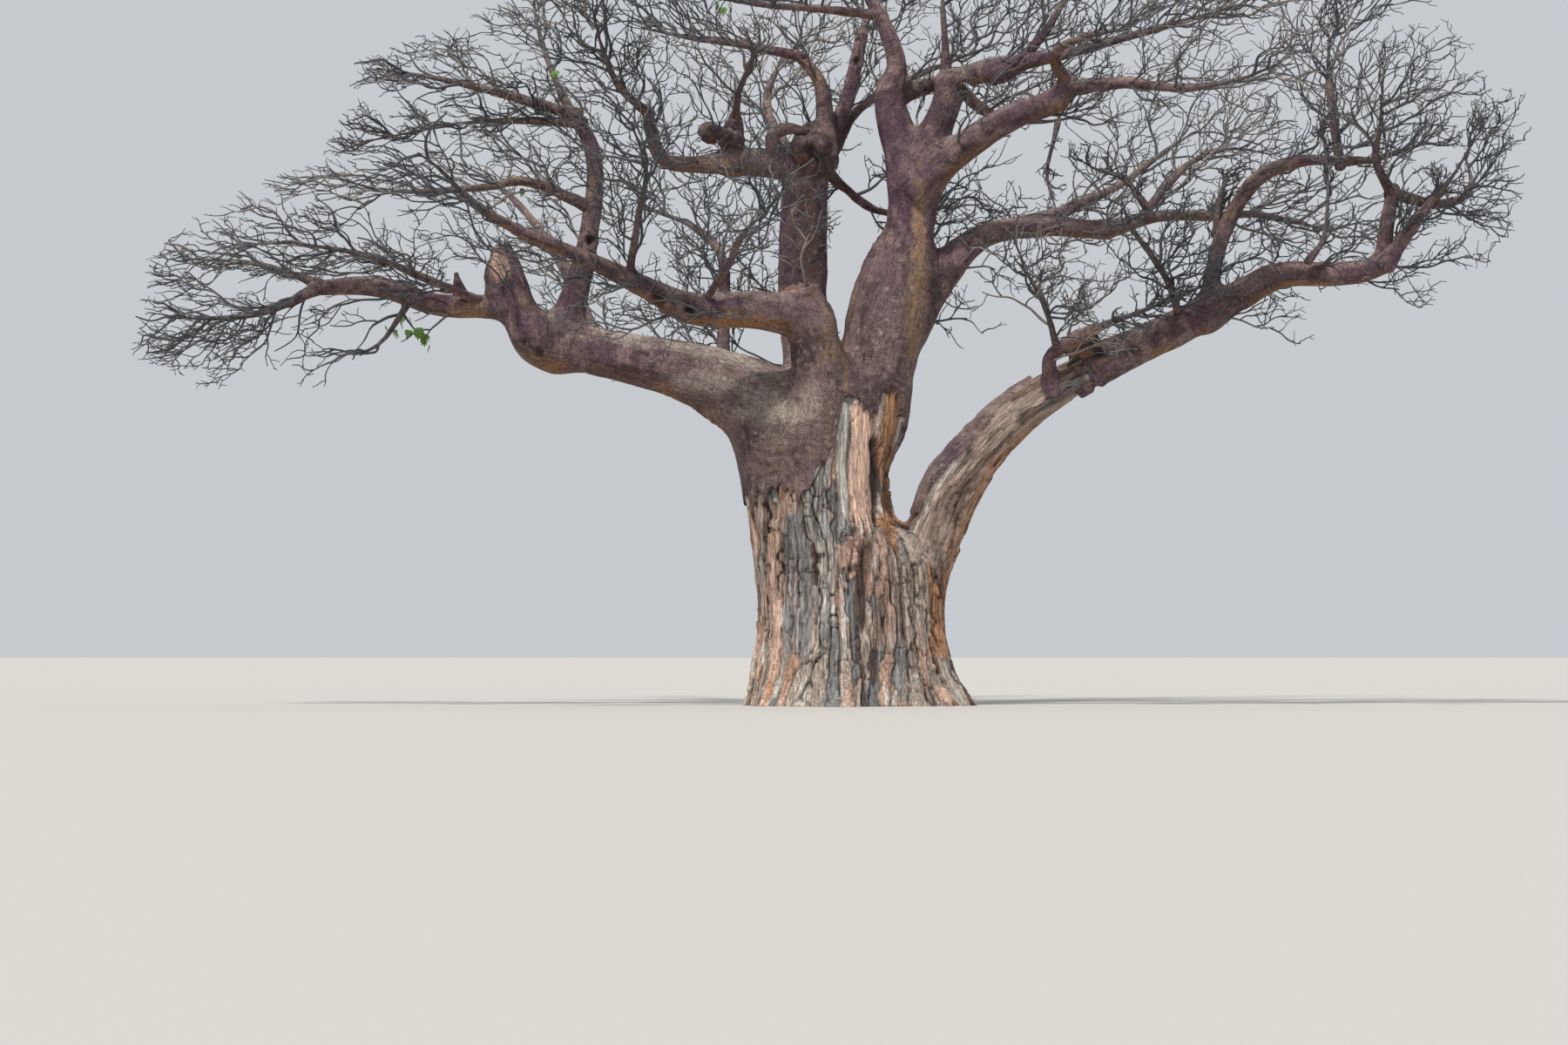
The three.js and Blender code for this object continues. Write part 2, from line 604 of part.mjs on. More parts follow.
// Grows a tapering three-sided twig out of the parent's skin. It returns the twig's own faces.
function growTwig(skin, parentFaces, twig, thickness, segments) {
  const base = openFace(skin, parentFaces, twig, thickness / 2);
  if (base === null) return null;
  const rings = [base];
  let normal = bestNormal(base.map((corner) => skin.points[corner]), twig.directionAt(0));
  for (let index = 1; index < segments; index += 1) {
    const share = index / segments;
    const along = twig.directionAt(share);
    normal = normal.addScaledVector(along, -normal.dot(along)).normalize();
    const binormal = along.clone().cross(normal);
    const radius = (thickness / 2) * (1 - TWIG_TAPER * share);
    rings.push(addPoints(skin, ringAround(twig.placeAt(share), normal, binormal, radius, TWIG_SIDES)));
  }
  const faces = tubeFaces(skin, rings, twig.placeAt(1));
  faces.forEach((face) => skin.faces.add(face));
  return faces;
}

// Whether a twig passes clear of the twigs that its mass already has. Its own parent doesn't count.
function passesTwigs(twig, twigs, parent) {
  const steps = Math.ceil(twig.length / CROSSING_STEP);
  const nearest = new THREE.Vector3();
  for (let index = 1; index <= steps; index += 1) {
    const place = twig.placeAt(index / steps);
    for (const other of twigs) {
      if (other === parent) continue;
      for (const piece of other.pieces) {
        if (piece.closestPointToPoint(place, true, nearest).distanceTo(place) < CROSSING_GAP) return false;
      }
    }
  }
  return true;
}

function withPieces(twig) {
  const places = [0, 0.25, 0.5, 0.75, 1].map(twig.placeAt);
  twig.pieces = places.slice(1).map((place, index) => new THREE.Line3(places[index], place));
  return twig;
}

// A mass of twigs: the stem, its side twigs and their twiglets, as one body.
function massSolid(number, line, reach, rise, own, stems, boughs) {
  const stem = stemAsParent(line, number);
  const { skin, faces: stemFaces } = stemSkin(line);
  const twigs = [];
  const fits = (twig, parent) => keepsItsSpace(twig, own, stems, boughs) && passesTwigs(twig, twigs, parent);
  for (let index = 0; index < SIDE_TWIGS; index += 1) {
    const share = FIRST_TWIG + ((LAST_TWIG - FIRST_TWIG) * index) / (SIDE_TWIGS - 1);
    const twig = withPieces(branchOff(stem, childNumber(number, index), index, share, reach, rise));
    if (!fits(twig, null)) continue;
    const faces = growTwig(skin, stemFaces, twig, TWIG_THICKNESS, 2);
    if (faces === null) continue;
    twigs.push(twig);
    for (let small = 0; small < TWIGLETS; small += 1) {
      const place = FIRST_TWIGLET * (1 + small / TWIGLETS);
      const grandchild = childNumber(twig.number, small);
      const twiglet = withPieces(branchOff(twig, grandchild, small, place, reach * TWIGLET_LENGTH, rise));
      if (!fits(twiglet, twig)) continue;
      if (growTwig(skin, faces, twiglet, TWIGLET_THICKNESS, 1) !== null) twigs.push(twiglet);
    }
  }
  return solidFrom(skin.points, [...skin.faces].flat());
}

// The largest body of a solid that cutting may have left in pieces.
function largestBody(solid) {
  const bodies = solid.decompose();
  return bodies.reduce((best, body) => (body.volume() > best.volume() ? body : best));
}

function boxesMeet(one, other) {
  const a = one.boundingBox();
  const b = other.boundingBox();
  return [0, 1, 2].every((axis) => a.min[axis] <= b.max[axis] && b.min[axis] <= a.max[axis]);
}

function cutClear(solid, earlier) {
  let cut = solid;
  for (const other of earlier) {
    if (boxesMeet(cut, other)) cut = cut.subtract(other);
  }
  return largestBody(cut).simplify(SEWING_SIZE);
}

// Finishes.
const BARK = { roughness: 0.85, metalness: 0 };

function trunkMaterial() {
  return new THREE.MeshStandardMaterial({ color: 0x8d776c, ...BARK });
}

function boughMaterial() {
  return new THREE.MeshStandardMaterial({ color: 0x75606a, ...BARK });
}

function twigMaterial() {
  return new THREE.MeshStandardMaterial({ color: 0x4b5357, ...BARK });
}

function meshOf(name, solid, material) {
  const { vertProperties, triVerts } = solid.getMesh();
  const geometry = new THREE.BufferGeometry();
  geometry.setAttribute("position", new THREE.BufferAttribute(vertProperties, 3));
  geometry.setIndex(new THREE.BufferAttribute(triVerts, 1));
  geometry.computeVertexNormals();
  const mesh = new THREE.Mesh(geometry, material);
  mesh.name = name;
  return mesh;
}

function buildTree() {
  const tree = new THREE.Group();
  const trunk = trunkSolid();
  tree.add(meshOf("trunk", trunk, trunkMaterial()));
  const earlier = [trunkSolid(JOINT_GAP)];
  const boughs = [];
  for (const [name, rows] of Object.entries(BOUGHS)) {
    const line = middleLine(rows);
    const solid = cutClear(limbSolid(line, BOUGH_SIDES, BOUGH_STEP), earlier);
    tree.add(meshOf(name, solid, boughMaterial()));
    earlier.push(limbSolid(line, BOUGH_SIDES, BOUGH_STEP, JOINT_GAP));
    boughs.push(measurable(line));
  }
  const lines = Object.values(MASSES).map(({ rows }) => middleLine(rows));
  const stems = lines.map(measurable);
  Object.entries(MASSES).forEach(([name, { reach, rise }], index) => {
    const line = lines[index];
    const whole = massSolid(index + 1, line, reach, rise, stems[index], stems, boughs);
    tree.add(meshOf(name, cutClear(whole, earlier), twigMaterial()));
    earlier.push(limbSolid(line, STEM_SIDES, STEM_STEP, JOINT_GAP));
  });
  return tree;
}

export default buildTree();
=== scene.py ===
"""The looks of an old baobab with a bare crown, rooted in level ground.

Metres, with X to the right of the view, Y away from it and Z up. The tables hold the same rows as the
part's source, in millimetres.
"""

import math

import bpy
import numpy as np
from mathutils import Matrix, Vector

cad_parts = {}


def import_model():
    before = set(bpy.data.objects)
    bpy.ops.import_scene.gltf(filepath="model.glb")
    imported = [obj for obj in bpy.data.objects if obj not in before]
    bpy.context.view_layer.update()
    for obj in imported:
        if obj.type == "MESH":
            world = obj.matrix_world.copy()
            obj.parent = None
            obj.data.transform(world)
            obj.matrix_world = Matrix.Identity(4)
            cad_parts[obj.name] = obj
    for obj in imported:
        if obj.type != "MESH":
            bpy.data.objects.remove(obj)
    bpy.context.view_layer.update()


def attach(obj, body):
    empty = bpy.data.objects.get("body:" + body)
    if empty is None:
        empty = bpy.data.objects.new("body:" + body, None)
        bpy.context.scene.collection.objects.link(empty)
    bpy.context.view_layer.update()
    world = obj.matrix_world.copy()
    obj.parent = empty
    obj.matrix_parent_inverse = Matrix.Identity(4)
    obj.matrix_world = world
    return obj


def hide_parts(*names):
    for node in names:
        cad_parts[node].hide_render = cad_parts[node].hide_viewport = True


MM = 0.001
EYE = np.array((-1.17, -75.0, 1.08))
PITCH = math.atan(145 / 4500)
UP = np.array((0.0, 0.0, 1.0))
# Nearly upright directions that no limb or twig follows exactly.
SKEWED_UP = UP + np.array((0.1, 0.2, 0))
SLIGHTLY_SKEWED_UP = UP + np.array((0.02, 0.01, 0))

# How fine the surfaces are, and how limbs grow together.
WOOD_STEP = 0.042
TRUNK_STEP = 0.029
TRUNK_SIDES = 400
CLOSER_IN_FRONT = 0.35
FIELD_STEP = 0.16
STEM_STEP = 0.14
LARGEST_BLEND = 0.6
SMALLEST_BLEND = 0.05
BLEND_SHARE = 0.8
BURIED = -0.2
CAP_TURNS = (90, 72, 54, 36, 18)
CAP_REACH = 0.6
FINEST_RING = 0.08
ROUND_TIP = 0.5
BROKEN_TIP = 0.12
FEWEST_SIDES = 16
MOST_SIDES = 170
PARTS_OF_A_SPAN = 40
FEWEST_STEPS = 4
LEVELS = 260
SMOOTHED_OVER = 27
SLOPE_STEP = 0.01
SETTLING_STEPS = 3
LONGEST_MOVE = 0.3
LEAST_STEEP = 0.2
NEAR_TRUNK = 0.35
NEAR_LIMB = 0.1
NEARLY_UPRIGHT = 0.1

# Odd numbers that scramble bits, shifts with more of them for the lattice, and how many whole numbers 32
# bits hold.
SCRAMBLERS = (0x9E3779B1, 0x85EBCA6B, 0xC2B2AE35, 0x27D4EB2F)
LATTICE_STEPS = ((15, 0x2C1B3C6D), (12, 0x297A2D39))
WHOLES = 2.0**32
ALL_BITS = 0xFFFFFFFF
LAYERED_REACH = 1.6

# The trunk from the ground to its fork: height, left edge, right edge, half of its depth.
TRUNK_LEVELS = (
    (0, -1950, 2250, 2150), (250, -1880, 2130, 1980), (700, -1820, 1960, 1800),
    (1300, -1740, 1850, 1700), (2100, -1750, 1790, 1640), (2700, -1820, 1720, 1600),
    (3150, -1860, 1380, 1560), (3500, -1880, 900, 1520), (4100, -1960, 790, 1480),
    (4700, -2080, 820, 1450), (5200, -2020, 860, 1400), (5700, -1720, 940, 1280),
    (6150, -1250, 980, 1050), (6450, -780, 700, 650),
)
# Its flutes: how many go round, how deep they are in parts of the radius, and where they start.
FLUTES = ((3, 0.035, 0.4), (5, 0.04, 2.1), (8, 0.03, 0.9))
FLARE_OF_FLUTES = 1.3
FLARE_HEIGHT = 0.9

# Boughs: the middle line from root to tip. Each row is the place to the side, the height, how far the
# place lies behind the trunk's plane, and the thickness.
BOUGHS = {
    "bough_left": (
        (-400, 5000, 0, 1700), (-1170, 5530, -50, 1720), (-2000, 5970, -100, 1500),
        (-2900, 6350, -150, 1150), (-4170, 6650, -200, 960), (-5920, 7030, -300, 840),
    ),
    "bough_left_low": (
        (-5800, 6980, -300, 800), (-6250, 7400, -320, 640), (-6600, 7600, -350, 470),
        (-7830, 7680, -400, 420), (-8950, 8020, -450, 390), (-10170, 8000, -500, 280),
    ),
    "bough_left_stub": (
        (-5950, 7080, -420, 560), (-6220, 7750, -500, 510), (-6420, 8300, -520, 490),
        (-6620, 8790, -540, 400),
    ),
    "bough_left_rise": (
        (-5500, 6800, -200, 820), (-5170, 7920, -100, 530), (-4930, 8920, 0, 390), (-4800, 10170, 150, 320),
        (-4900, 10800, 200, 290), (-5250, 11380, 250, 250),
    ),
    "bough_front_base": (
        (-330, 5500, -600, 1150), (-420, 6170, -850, 1070), (-560, 6850, -1100, 970),
        (-800, 8020, -1350, 620),
    ),
    "bough_front_arm": (
        (-650, 7380, -1250, 780), (-1670, 7570, -1600, 770), (-2920, 7600, -2100, 600),
        (-3700, 7950, -2500, 420), (-4830, 8500, -3100, 300), (-6330, 9120, -3900, 200),
    ),
    "bough_centre": (
        (-500, 5700, 450, 1050), (-750, 6830, 600, 930), (-800, 8500, 700, 930), (-750, 10000, 650, 880),
        (-640, 10830, 600, 680),
    ),
    "bough_centre_left": (
        (-850, 10350, 550, 620), (-2170, 10430, 300, 500), (-2830, 10380, 100, 340), (-3500, 10480, 0, 270),
        (-3820, 11450, -100, 200),
    ),
    "bough_centre_shoot": (
        (-2150, 10350, 250, 430), (-2130, 11080, 300, 370), (-2110, 11300, 300, 240),
    ),
    "bough_centre_top": (
        (-330, 10450, 600, 440), (-370, 11170, 550, 370), (-500, 12000, 600, 250), (-920, 12500, 650, 180),
    ),
    "bough_centre_right": (
        (-450, 10600, 800, 380), (0, 11500, 1000, 300), (330, 12870, 1300, 230),
    ),
    "bough_right_centre": (
        (450, 5500, 0, 1350), (700, 7000, 0, 1530), (870, 7750, 0, 1530), (1080, 8500, 0, 1330),
        (1250, 9170, 0, 970), (1330, 10330, 0, 900),
    ),
    "bough_right_tall": (
        (1290, 10100, 0, 740), (970, 11080, -100, 700), (850, 11750, -150, 560), (1000, 12250, -150, 400),
        (750, 13080, -100, 300), (580, 13420, -50, 230),
    ),
    "bough_right_stub": (
        (1400, 10050, -150, 740), (1700, 10920, -250, 600), (1900, 11420, -300, 570),
        (2130, 12130, -350, 540),
    ),
    "bough_right_high": (
        (1950, 11950, -350, 400), (2830, 12230, -450, 430), (3330, 12330, -550, 330),
        (4330, 12530, -900, 220), (5000, 12720, -1200, 180),
    ),
    "bough_right_fork": (
        (1450, 9950, -200, 640), (2170, 10630, -500, 570), (3170, 11280, -900, 500),
        (4080, 11630, -1400, 460), (4320, 11900, -1500, 380),
    ),
    "bough_right_mid": (
        (1200, 7300, 200, 800), (1920, 8370, 350, 700), (2670, 9000, 600, 470), (3830, 9180, 900, 400),
        (5000, 9130, 1200, 330), (6000, 9380, 1500, 230), (7330, 9380, 1900, 180),
    ),
    "bough_right_low": (
        (1250, 1200, 0, 700), (1500, 2400, 0, 980), (1680, 3200, 0, 1240), (2130, 4250, -50, 1200),
        (3250, 5530, -150, 970), (4670, 6430, -250, 800), (6330, 7220, -350, 700), (7080, 7580, -400, 660),
    ),
    "bough_right_end": (
        (6950, 7520, -400, 590), (7670, 7920, -420, 580), (8300, 8230, -450, 510), (9400, 8270, -550, 440),
        (10080, 8370, -600, 430), (10380, 8600, -600, 390),
    ),
    "bough_right_end_up": (
        (10350, 8450, -550, 340), (10380, 9080, -600, 300), (10530, 9900, -550, 240),
    ),
    "bough_right_rise": (
        (6950, 7400, -380, 460), (7060, 8300, -300, 320), (7280, 9100, -200, 300), (7920, 10100, -100, 280),
        (8670, 10430, 0, 250), (9670, 10450, 100, 170),
    ),
    "bough_right_burl": (
        (3950, 6050, -450, 320), (3950, 6700, -800, 230), (4500, 7070, -950, 210), (4800, 7220, -1000, 190),
    ),
    "bough_back_centre": (
        (-450, 5800, 800, 800), (-800, 7500, 1700, 520), (-850, 9200, 2700, 400), (-1100, 10600, 3900, 280),
    ),
    "bough_back_right": (
        (500, 5600, 700, 850), (1100, 7400, 1600, 560), (1950, 8400, 2700, 430), (2700, 9000, 3700, 340),
        (4300, 9500, 5600, 220),
    ),
    "bough_back_left": (
        (-1000, 5500, 700, 850), (-2200, 6250, 1600, 600), (-3400, 6600, 2700, 480),
        (-4700, 6950, 4000, 380), (-5300, 8300, 5200, 260),
    ),
}
# Masses of bare twigs: how far the side twigs reach, how much they rise, and the stem's rows.
MASSES = {
    "twigs_left_low_tip": (1600, -0.3, (
        (-10100, 7990, -500, 240), (-11170, 7520, -600, 120), (-12000, 7420, -700, 100),
        (-13000, 7420, -900, 60),
    )),
    "twigs_left_low_rise": (1600, 0, (
        (-10080, 8040, -500, 200), (-10420, 8200, -400, 130), (-11330, 8470, -100, 90),
        (-12700, 8560, 300, 60),
    )),
    "twigs_left_low_under": (1400, -0.4, (
        (-8300, 7850, -450, 150), (-8600, 7350, -900, 110), (-8900, 6950, -1500, 80),
        (-9300, 6700, -2100, 50),
    )),
    "twigs_left_low_over": (1700, 0.1, (
        (-6750, 7640, -350, 200), (-8000, 8170, -1100, 150), (-9170, 8620, -1900, 120),
        (-10800, 8900, -2800, 70),
    )),
    "twigs_left_shelf": (1800, 0.05, (
        (-4900, 9550, 50, 240), (-6080, 10050, -400, 180), (-7000, 9930, -1000, 150),
        (-8800, 9870, -1800, 90), (-9700, 10100, -2300, 60),
    )),
    "twigs_left_top": (1800, 0.1, (
        (-5200, 11340, 240, 230), (-6500, 11720, 300, 170), (-7500, 11970, 400, 130),
        (-9000, 12230, 600, 70),
    )),
    "twigs_left_crest": (1700, 0.3, (
        (-5220, 11300, 240, 180), (-5600, 12100, 800, 130), (-5900, 13000, 1300, 90),
        (-6000, 13500, 1600, 60),
    )),
    "twigs_front_tip": (1700, 0, (
        (-6250, 9090, -3860, 190), (-7100, 9600, -4500, 150), (-7800, 10300, -5300, 90),
        (-8200, 10600, -6000, 60),
    )),
    "twigs_front_up": (1700, 0.2, (
        (-4150, 8200, -2760, 160), (-3950, 9450, -3600, 130), (-3820, 10250, -4500, 100),
        (-4100, 11200, -5500, 60),
    )),
    "twigs_front_riser": (1720, 0.2, (
        (-2750, 7650, -2050, 180), (-2230, 8450, -3000, 150), (-2000, 8970, -4000, 130),
        (-1500, 9500, -5400, 70),
    )),
    "twigs_behind_left": (1660, 0.2, (
        (-2350, 6200, 50, 260), (-2330, 7400, 900, 240), (-2360, 8580, 1600, 190), (-2920, 9180, 2560, 140),
        (-3900, 9550, 3700, 80),
    )),
    "twigs_centre_left": (1600, 0.2, (
        (-3800, 11380, -90, 180), (-4350, 11900, -900, 140), (-4670, 12650, -1900, 90),
        (-4800, 13100, -2600, 60),
    )),
    "twigs_centre_shoot": (1400, 0.3, (
        (-2110, 11250, 300, 150), (-2030, 11800, -300, 120), (-1770, 12470, -1300, 90),
        (-1900, 13000, -2200, 60),
    )),
    "twigs_centre_top": (1700, 0.2, (
        (-850, 12460, 640, 170), (-2000, 12700, 1000, 150), (-2830, 12800, 1500, 120),
        (-3900, 13000, 2200, 60),
    )),
    "twigs_centre_right": (1500, 0.3, (
        (310, 12800, 1290, 200), (430, 13200, 1900, 140), (500, 13500, 2900, 70),
    )),
    "twigs_behind_right": (1700, 0.1, (
        (-200, 10700, 1000, 240), (170, 11330, 1400, 180), (800, 11800, 2200, 160), (1900, 12300, 3400, 100),
        (2900, 12700, 4500, 60),
    )),
    "twigs_behind_low": (1650, 0, (
        (-450, 10350, 900, 230), (-20, 9930, 1250, 180), (580, 9500, 1700, 150), (1700, 9500, 2900, 90),
        (2400, 9800, 4200, 60),
    )),
    "twigs_crown_top": (1500, 0.3, (
        (600, 13360, -60, 190), (420, 13750, 100, 140), (900, 14050, 300, 90), (1500, 14200, 400, 60),
    )),
    "twigs_crown_left": (1700, 0.2, (
        (660, 13250, -90, 200), (-500, 13380, -800, 150), (-1530, 13450, -1700, 120),
        (-2600, 13600, -2900, 60),
    )),
    "twigs_tall_arm": (1700, 0, (
        (900, 11650, 50, 360), (1970, 11950, 500, 300), (2700, 11400, 1300, 200), (3700, 11200, 2300, 110),
        (4500, 11300, 3200, 60),
    )),
    "twigs_right_high": (1700, 0.2, (
        (4900, 12690, -1150, 170), (5670, 12900, -1300, 150), (6700, 13200, -1400, 90),
        (7500, 13400, -1500, 60),
    )),
    "twigs_right_crest": (1660, 0.3, (
        (3340, 12310, -550, 230), (3900, 13000, -450, 180), (4200, 13500, 0, 120), (4700, 13900, 600, 70),
    )),
    "twigs_right_shelf": (1750, 0, (
        (4280, 11850, -1490, 300), (5330, 11950, -2100, 220), (6500, 11850, -2900, 170),
        (7670, 12050, -3700, 100), (8300, 12300, -4300, 60),
    )),
    "twigs_right_up": (1700, 0.1, (
        (4300, 11860, -1490, 270), (4030, 12500, -2200, 190), (4670, 12850, -3200, 150),
        (5500, 13000, -4700, 60),
    )),
    "twigs_right_mid_tip": (1600, 0, (
        (7250, 9380, 1880, 170), (7830, 9420, 2100, 140), (8500, 9300, 2600, 110), (9300, 9100, 3300, 60),
    )),
    "twigs_right_mid_up": (1700, 0.2, (
        (5650, 9300, 1400, 200), (6130, 9900, 1800, 170), (6700, 10450, 2500, 130), (7500, 10700, 3500, 70),
    )),
    "twigs_right_end_up": (1600, 0.2, (
        (10500, 9820, -560, 200), (10200, 10430, -900, 150), (10300, 11200, -1500, 100),
        (10300, 11700, -2200, 60),
    )),
    "twigs_right_tip": (1500, 0.1, (
        (10520, 9800, -550, 230), (11500, 9620, -400, 200), (12000, 9900, -200, 130),
        (11900, 10600, 100, 70),
    )),
    "twigs_right_shoot": (1800, 0.3, (
        (9500, 10400, 90, 190), (9380, 11250, 200, 180), (9300, 12000, 400, 130), (9300, 12900, 700, 70),
    )),
    "twigs_right_inner": (1450, 0.2, (
        (6450, 7300, -350, 160), (6170, 8170, -1100, 130), (5520, 9130, -2200, 100), (5300, 9700, -3200, 60),
    )),
    "twigs_burl": (1400, 0.2, (
        (4080, 6800, -830, 150), (3880, 7500, -1500, 110), (3600, 8100, -2300, 80), (3300, 8500, -3200, 50),
    )),
    "twigs_back_centre": (2100, 0.2, (
        (-1090, 10550, 3860, 260), (-1500, 11500, 4900, 180), (-1300, 12200, 6000, 110),
        (-900, 12700, 6900, 60),
    )),
    "twigs_back_right": (2100, 0.1, (
        (4200, 9470, 5480, 210), (5300, 10000, 6300, 150), (6100, 10600, 7000, 100), (6700, 11000, 7700, 60),
    )),
    "twigs_back_left": (2100, 0.1, (
        (-5250, 8200, 5120, 240), (-6000, 9300, 6000, 160), (-6700, 10000, 6700, 100),
        (-7400, 10400, 7400, 60),
    )),
}


def placed(rows):
    """Rows of a table as places and thicknesses in metres.

    A place is the eye plus the way from the eye to the row's point in the trunk's plane, times the share of
    the viewing distance at which the row lies. The thickness grows by the same share.
    """
    rows = np.asarray(rows, float) * MM
    flat = np.stack([rows[:, 0], np.zeros(len(rows)), rows[:, 1]], axis=1)
    share = (rows[:, 2] - EYE[1]) / -EYE[1]
    return EYE + (flat - EYE) * share[:, None], rows[:, 3] * share


def place_of(side, height, back):
    """The place of one row of a table, in metres."""
    return placed([(side, height, back, 0)])[0][0]


def knot_tangent(before, here, after, gap, next_gap):
    """The tangent at the middle of three knots: the slopes of its two spans, less the slope over both."""
    return (here - before) / gap - (after - before) / (gap + next_gap) + (after - here) / next_gap


def curve_span(four, parts):
    """One span of a centripetal Catmull-Rom curve, between the second and third of four points.

    The knots lie apart by the square roots of the distances, and the span is the cubic with the tangents
    that those knots give at its two ends.
    """
    gaps = np.sqrt(np.linalg.norm(np.diff(four, axis=0), axis=1))
    start = knot_tangent(*four[:3], gaps[0], gaps[1]) * gaps[1]
    end = knot_tangent(*four[1:], gaps[1], gaps[2]) * gaps[1]
    s = parts[:, None]
    square = -3 * four[1] + 3 * four[2] - 2 * start - end
    cube = 2 * four[1] - 2 * four[2] + start + end
    return four[1] + start * s + square * s**2 + cube * s**3


def between(at, along, vectors):
    """Vectors at some places along a line, in straight steps between those that are kept for it."""
    return np.stack([np.interp(at, along, vectors[:, axis]) for axis in range(3)], axis=1)


def middle_line(rows, step):
    """A limb's middle line, cut at equal steps of length, with its radius and direction there."""
    places, thickness = placed(rows)
    padded = np.vstack([2 * places[0] - places[1], places, 2 * places[-1] - places[-2]])
    parts = np.arange(PARTS_OF_A_SPAN) / PARTS_OF_A_SPAN
    spans = np.arange(len(places) - 1)
    points = np.vstack([curve_span(padded[first : first + 4], parts) for first in spans] + [places[-1:]])
    row_at = np.append((spans[:, None] + parts).ravel(), len(spans))
    walked = np.append(0, np.cumsum(np.linalg.norm(np.diff(points, axis=0), axis=1)))
    count = max(FEWEST_STEPS, int(round(walked[-1] / step)))
    along = np.linspace(0, walked[-1], count + 1)
    middles = between(along, walked, points)
    radius = np.interp(np.interp(along, walked, row_at), np.arange(len(places)), thickness) / 2
    tangents = unit(np.gradient(middles, along, axis=0))
    return {"middles": middles, "radius": radius, "tangents": tangents, "along": along, "blunt": False}


def unit(vectors):
    """Each vector divided by its length."""
    return vectors / np.maximum(np.linalg.norm(vectors, axis=-1, keepdims=True), 1e-9)


def carried_frames(tangents):
    """A side and an over direction for each ring, carried along the line with as little turn as can be."""
    side = np.cross(UP, tangents[0])
    if np.linalg.norm(side) < NEARLY_UPRIGHT:
        side = np.array((1.0, 0.0, 0.0))
    sides = []
    for tangent in tangents:
        side = unit(side - tangent * side.dot(tangent))
        sides.append(side)
    sides = np.array(sides)
    return sides, np.cross(tangents, sides)


def grid_faces(rings, sides):
    """Quads between rings of points, with one pole after the last ring's points for each end."""
    ring, side = np.meshgrid(np.arange(rings - 1), np.arange(sides), indexing="ij")
    a = (ring * sides + side).ravel()
    b = (ring * sides + (side + 1) % sides).ravel()
    quads = np.stack([a, b, b + sides, a + sides], axis=1)
    around = np.arange(sides)
    following = (around + 1) % sides
    foot = rings * sides
    last = (rings - 1) * sides
    start = np.stack([np.full(sides, foot), following, around], axis=1)
    end = np.stack([np.full(sides, foot + 1), last + around, last + following], axis=1)
    return quads, np.vstack([start, end])


def make_piece(name, vertices, quads, triangles, materials, face_material=None):
    """A named smooth mesh object from arrays of vertices, quads and triangles."""
    mesh = bpy.data.meshes.new(name)
    corners = np.concatenate([quads.ravel(), triangles.ravel()]).astype(np.int32)
    starts = np.concatenate([np.arange(len(quads)) * 4, len(quads) * 4 + np.arange(len(triangles)) * 3])
    mesh.vertices.add(len(vertices))
    mesh.vertices.foreach_set("co", np.asarray(vertices, np.float32).ravel())
    mesh.loops.add(len(corners))
    mesh.loops.foreach_set("vertex_index", corners)
    mesh.polygons.add(len(starts))
    mesh.polygons.foreach_set("loop_start", starts.astype(np.int32))
    mesh.polygons.foreach_set("use_smooth", np.ones(len(starts), bool))
    for material in materials:
        mesh.materials.append(material)
    if face_material is not None:
        mesh.polygons.foreach_set("material_index", np.asarray(face_material, np.int32))
    mesh.update(calc_edges=True)
    piece = bpy.data.objects.new(name, mesh)
    bpy.context.scene.collection.objects.link(piece)
    return piece


def lattice_chance(corner, seed):
    """A number from 0 to 1 for each corner of a cubic lattice, scrambled from its three whole numbers."""
    bits = np.uint32((seed * SCRAMBLERS[3]) & ALL_BITS)
    for axis in range(3):
        bits = bits ^ corner[..., axis].astype(np.uint32) * np.uint32(SCRAMBLERS[axis])
    for shift, factor in LATTICE_STEPS:
        bits = (bits ^ (bits >> np.uint32(shift))) * np.uint32(factor)
    return (bits ^ (bits >> np.uint32(15))) / WHOLES


def soft_noise(places, grain, seed):
    """Smooth noise from -1 to 1: the chances of a cell's eight corners, blended by 3 s squared less 2 s
    cubed.
    """
    scaled = places / np.asarray(grain, float)
    low = np.floor(scaled)
    part = scaled - low
    part = part * part * (3 - 2 * part)
    low = low.astype(np.int64)
    total = np.zeros(len(places))
    for corner in range(8):
        step = np.array((corner & 1, corner >> 1 & 1, corner >> 2 & 1))
        weight = np.prod(np.where(step == 1, part, 1 - part), axis=1)
        total += weight * lattice_chance(low + step, seed)
    return 2 * total - 1


def layered_noise(places, grain, seed):
    """A sum of three smooth noises, each of half the grain and half the strength of the one before it."""
    total = 0
    for layer in range(3):
        total = total + soft_noise(places, np.asarray(grain, float) / 2**layer, seed + 7 * layer) / 2**layer
    return total / LAYERED_REACH


def ridges(places, grain, seed):
    """Noise folded at zero, which gives sharp ridge lines of height 1 between rounded hollows."""
    return 1 - 2 * np.abs(soft_noise(places, grain, seed))


def ease(value, low, high):
    """A smooth step from 0 at low to 1 at high."""
    share = np.clip((value - low) / (high - low), 0, 1)
    return share * share * (3 - 2 * share)


def as_seen(places):
    """Where places appear to the eye: to the side and in height, in the trunk's plane."""
    share = -EYE[1] / (places[:, 1] - EYE[1])
    return EYE[0] + (places[:, 0] - EYE[0]) * share, EYE[2] + (places[:, 2] - EYE[2]) * share


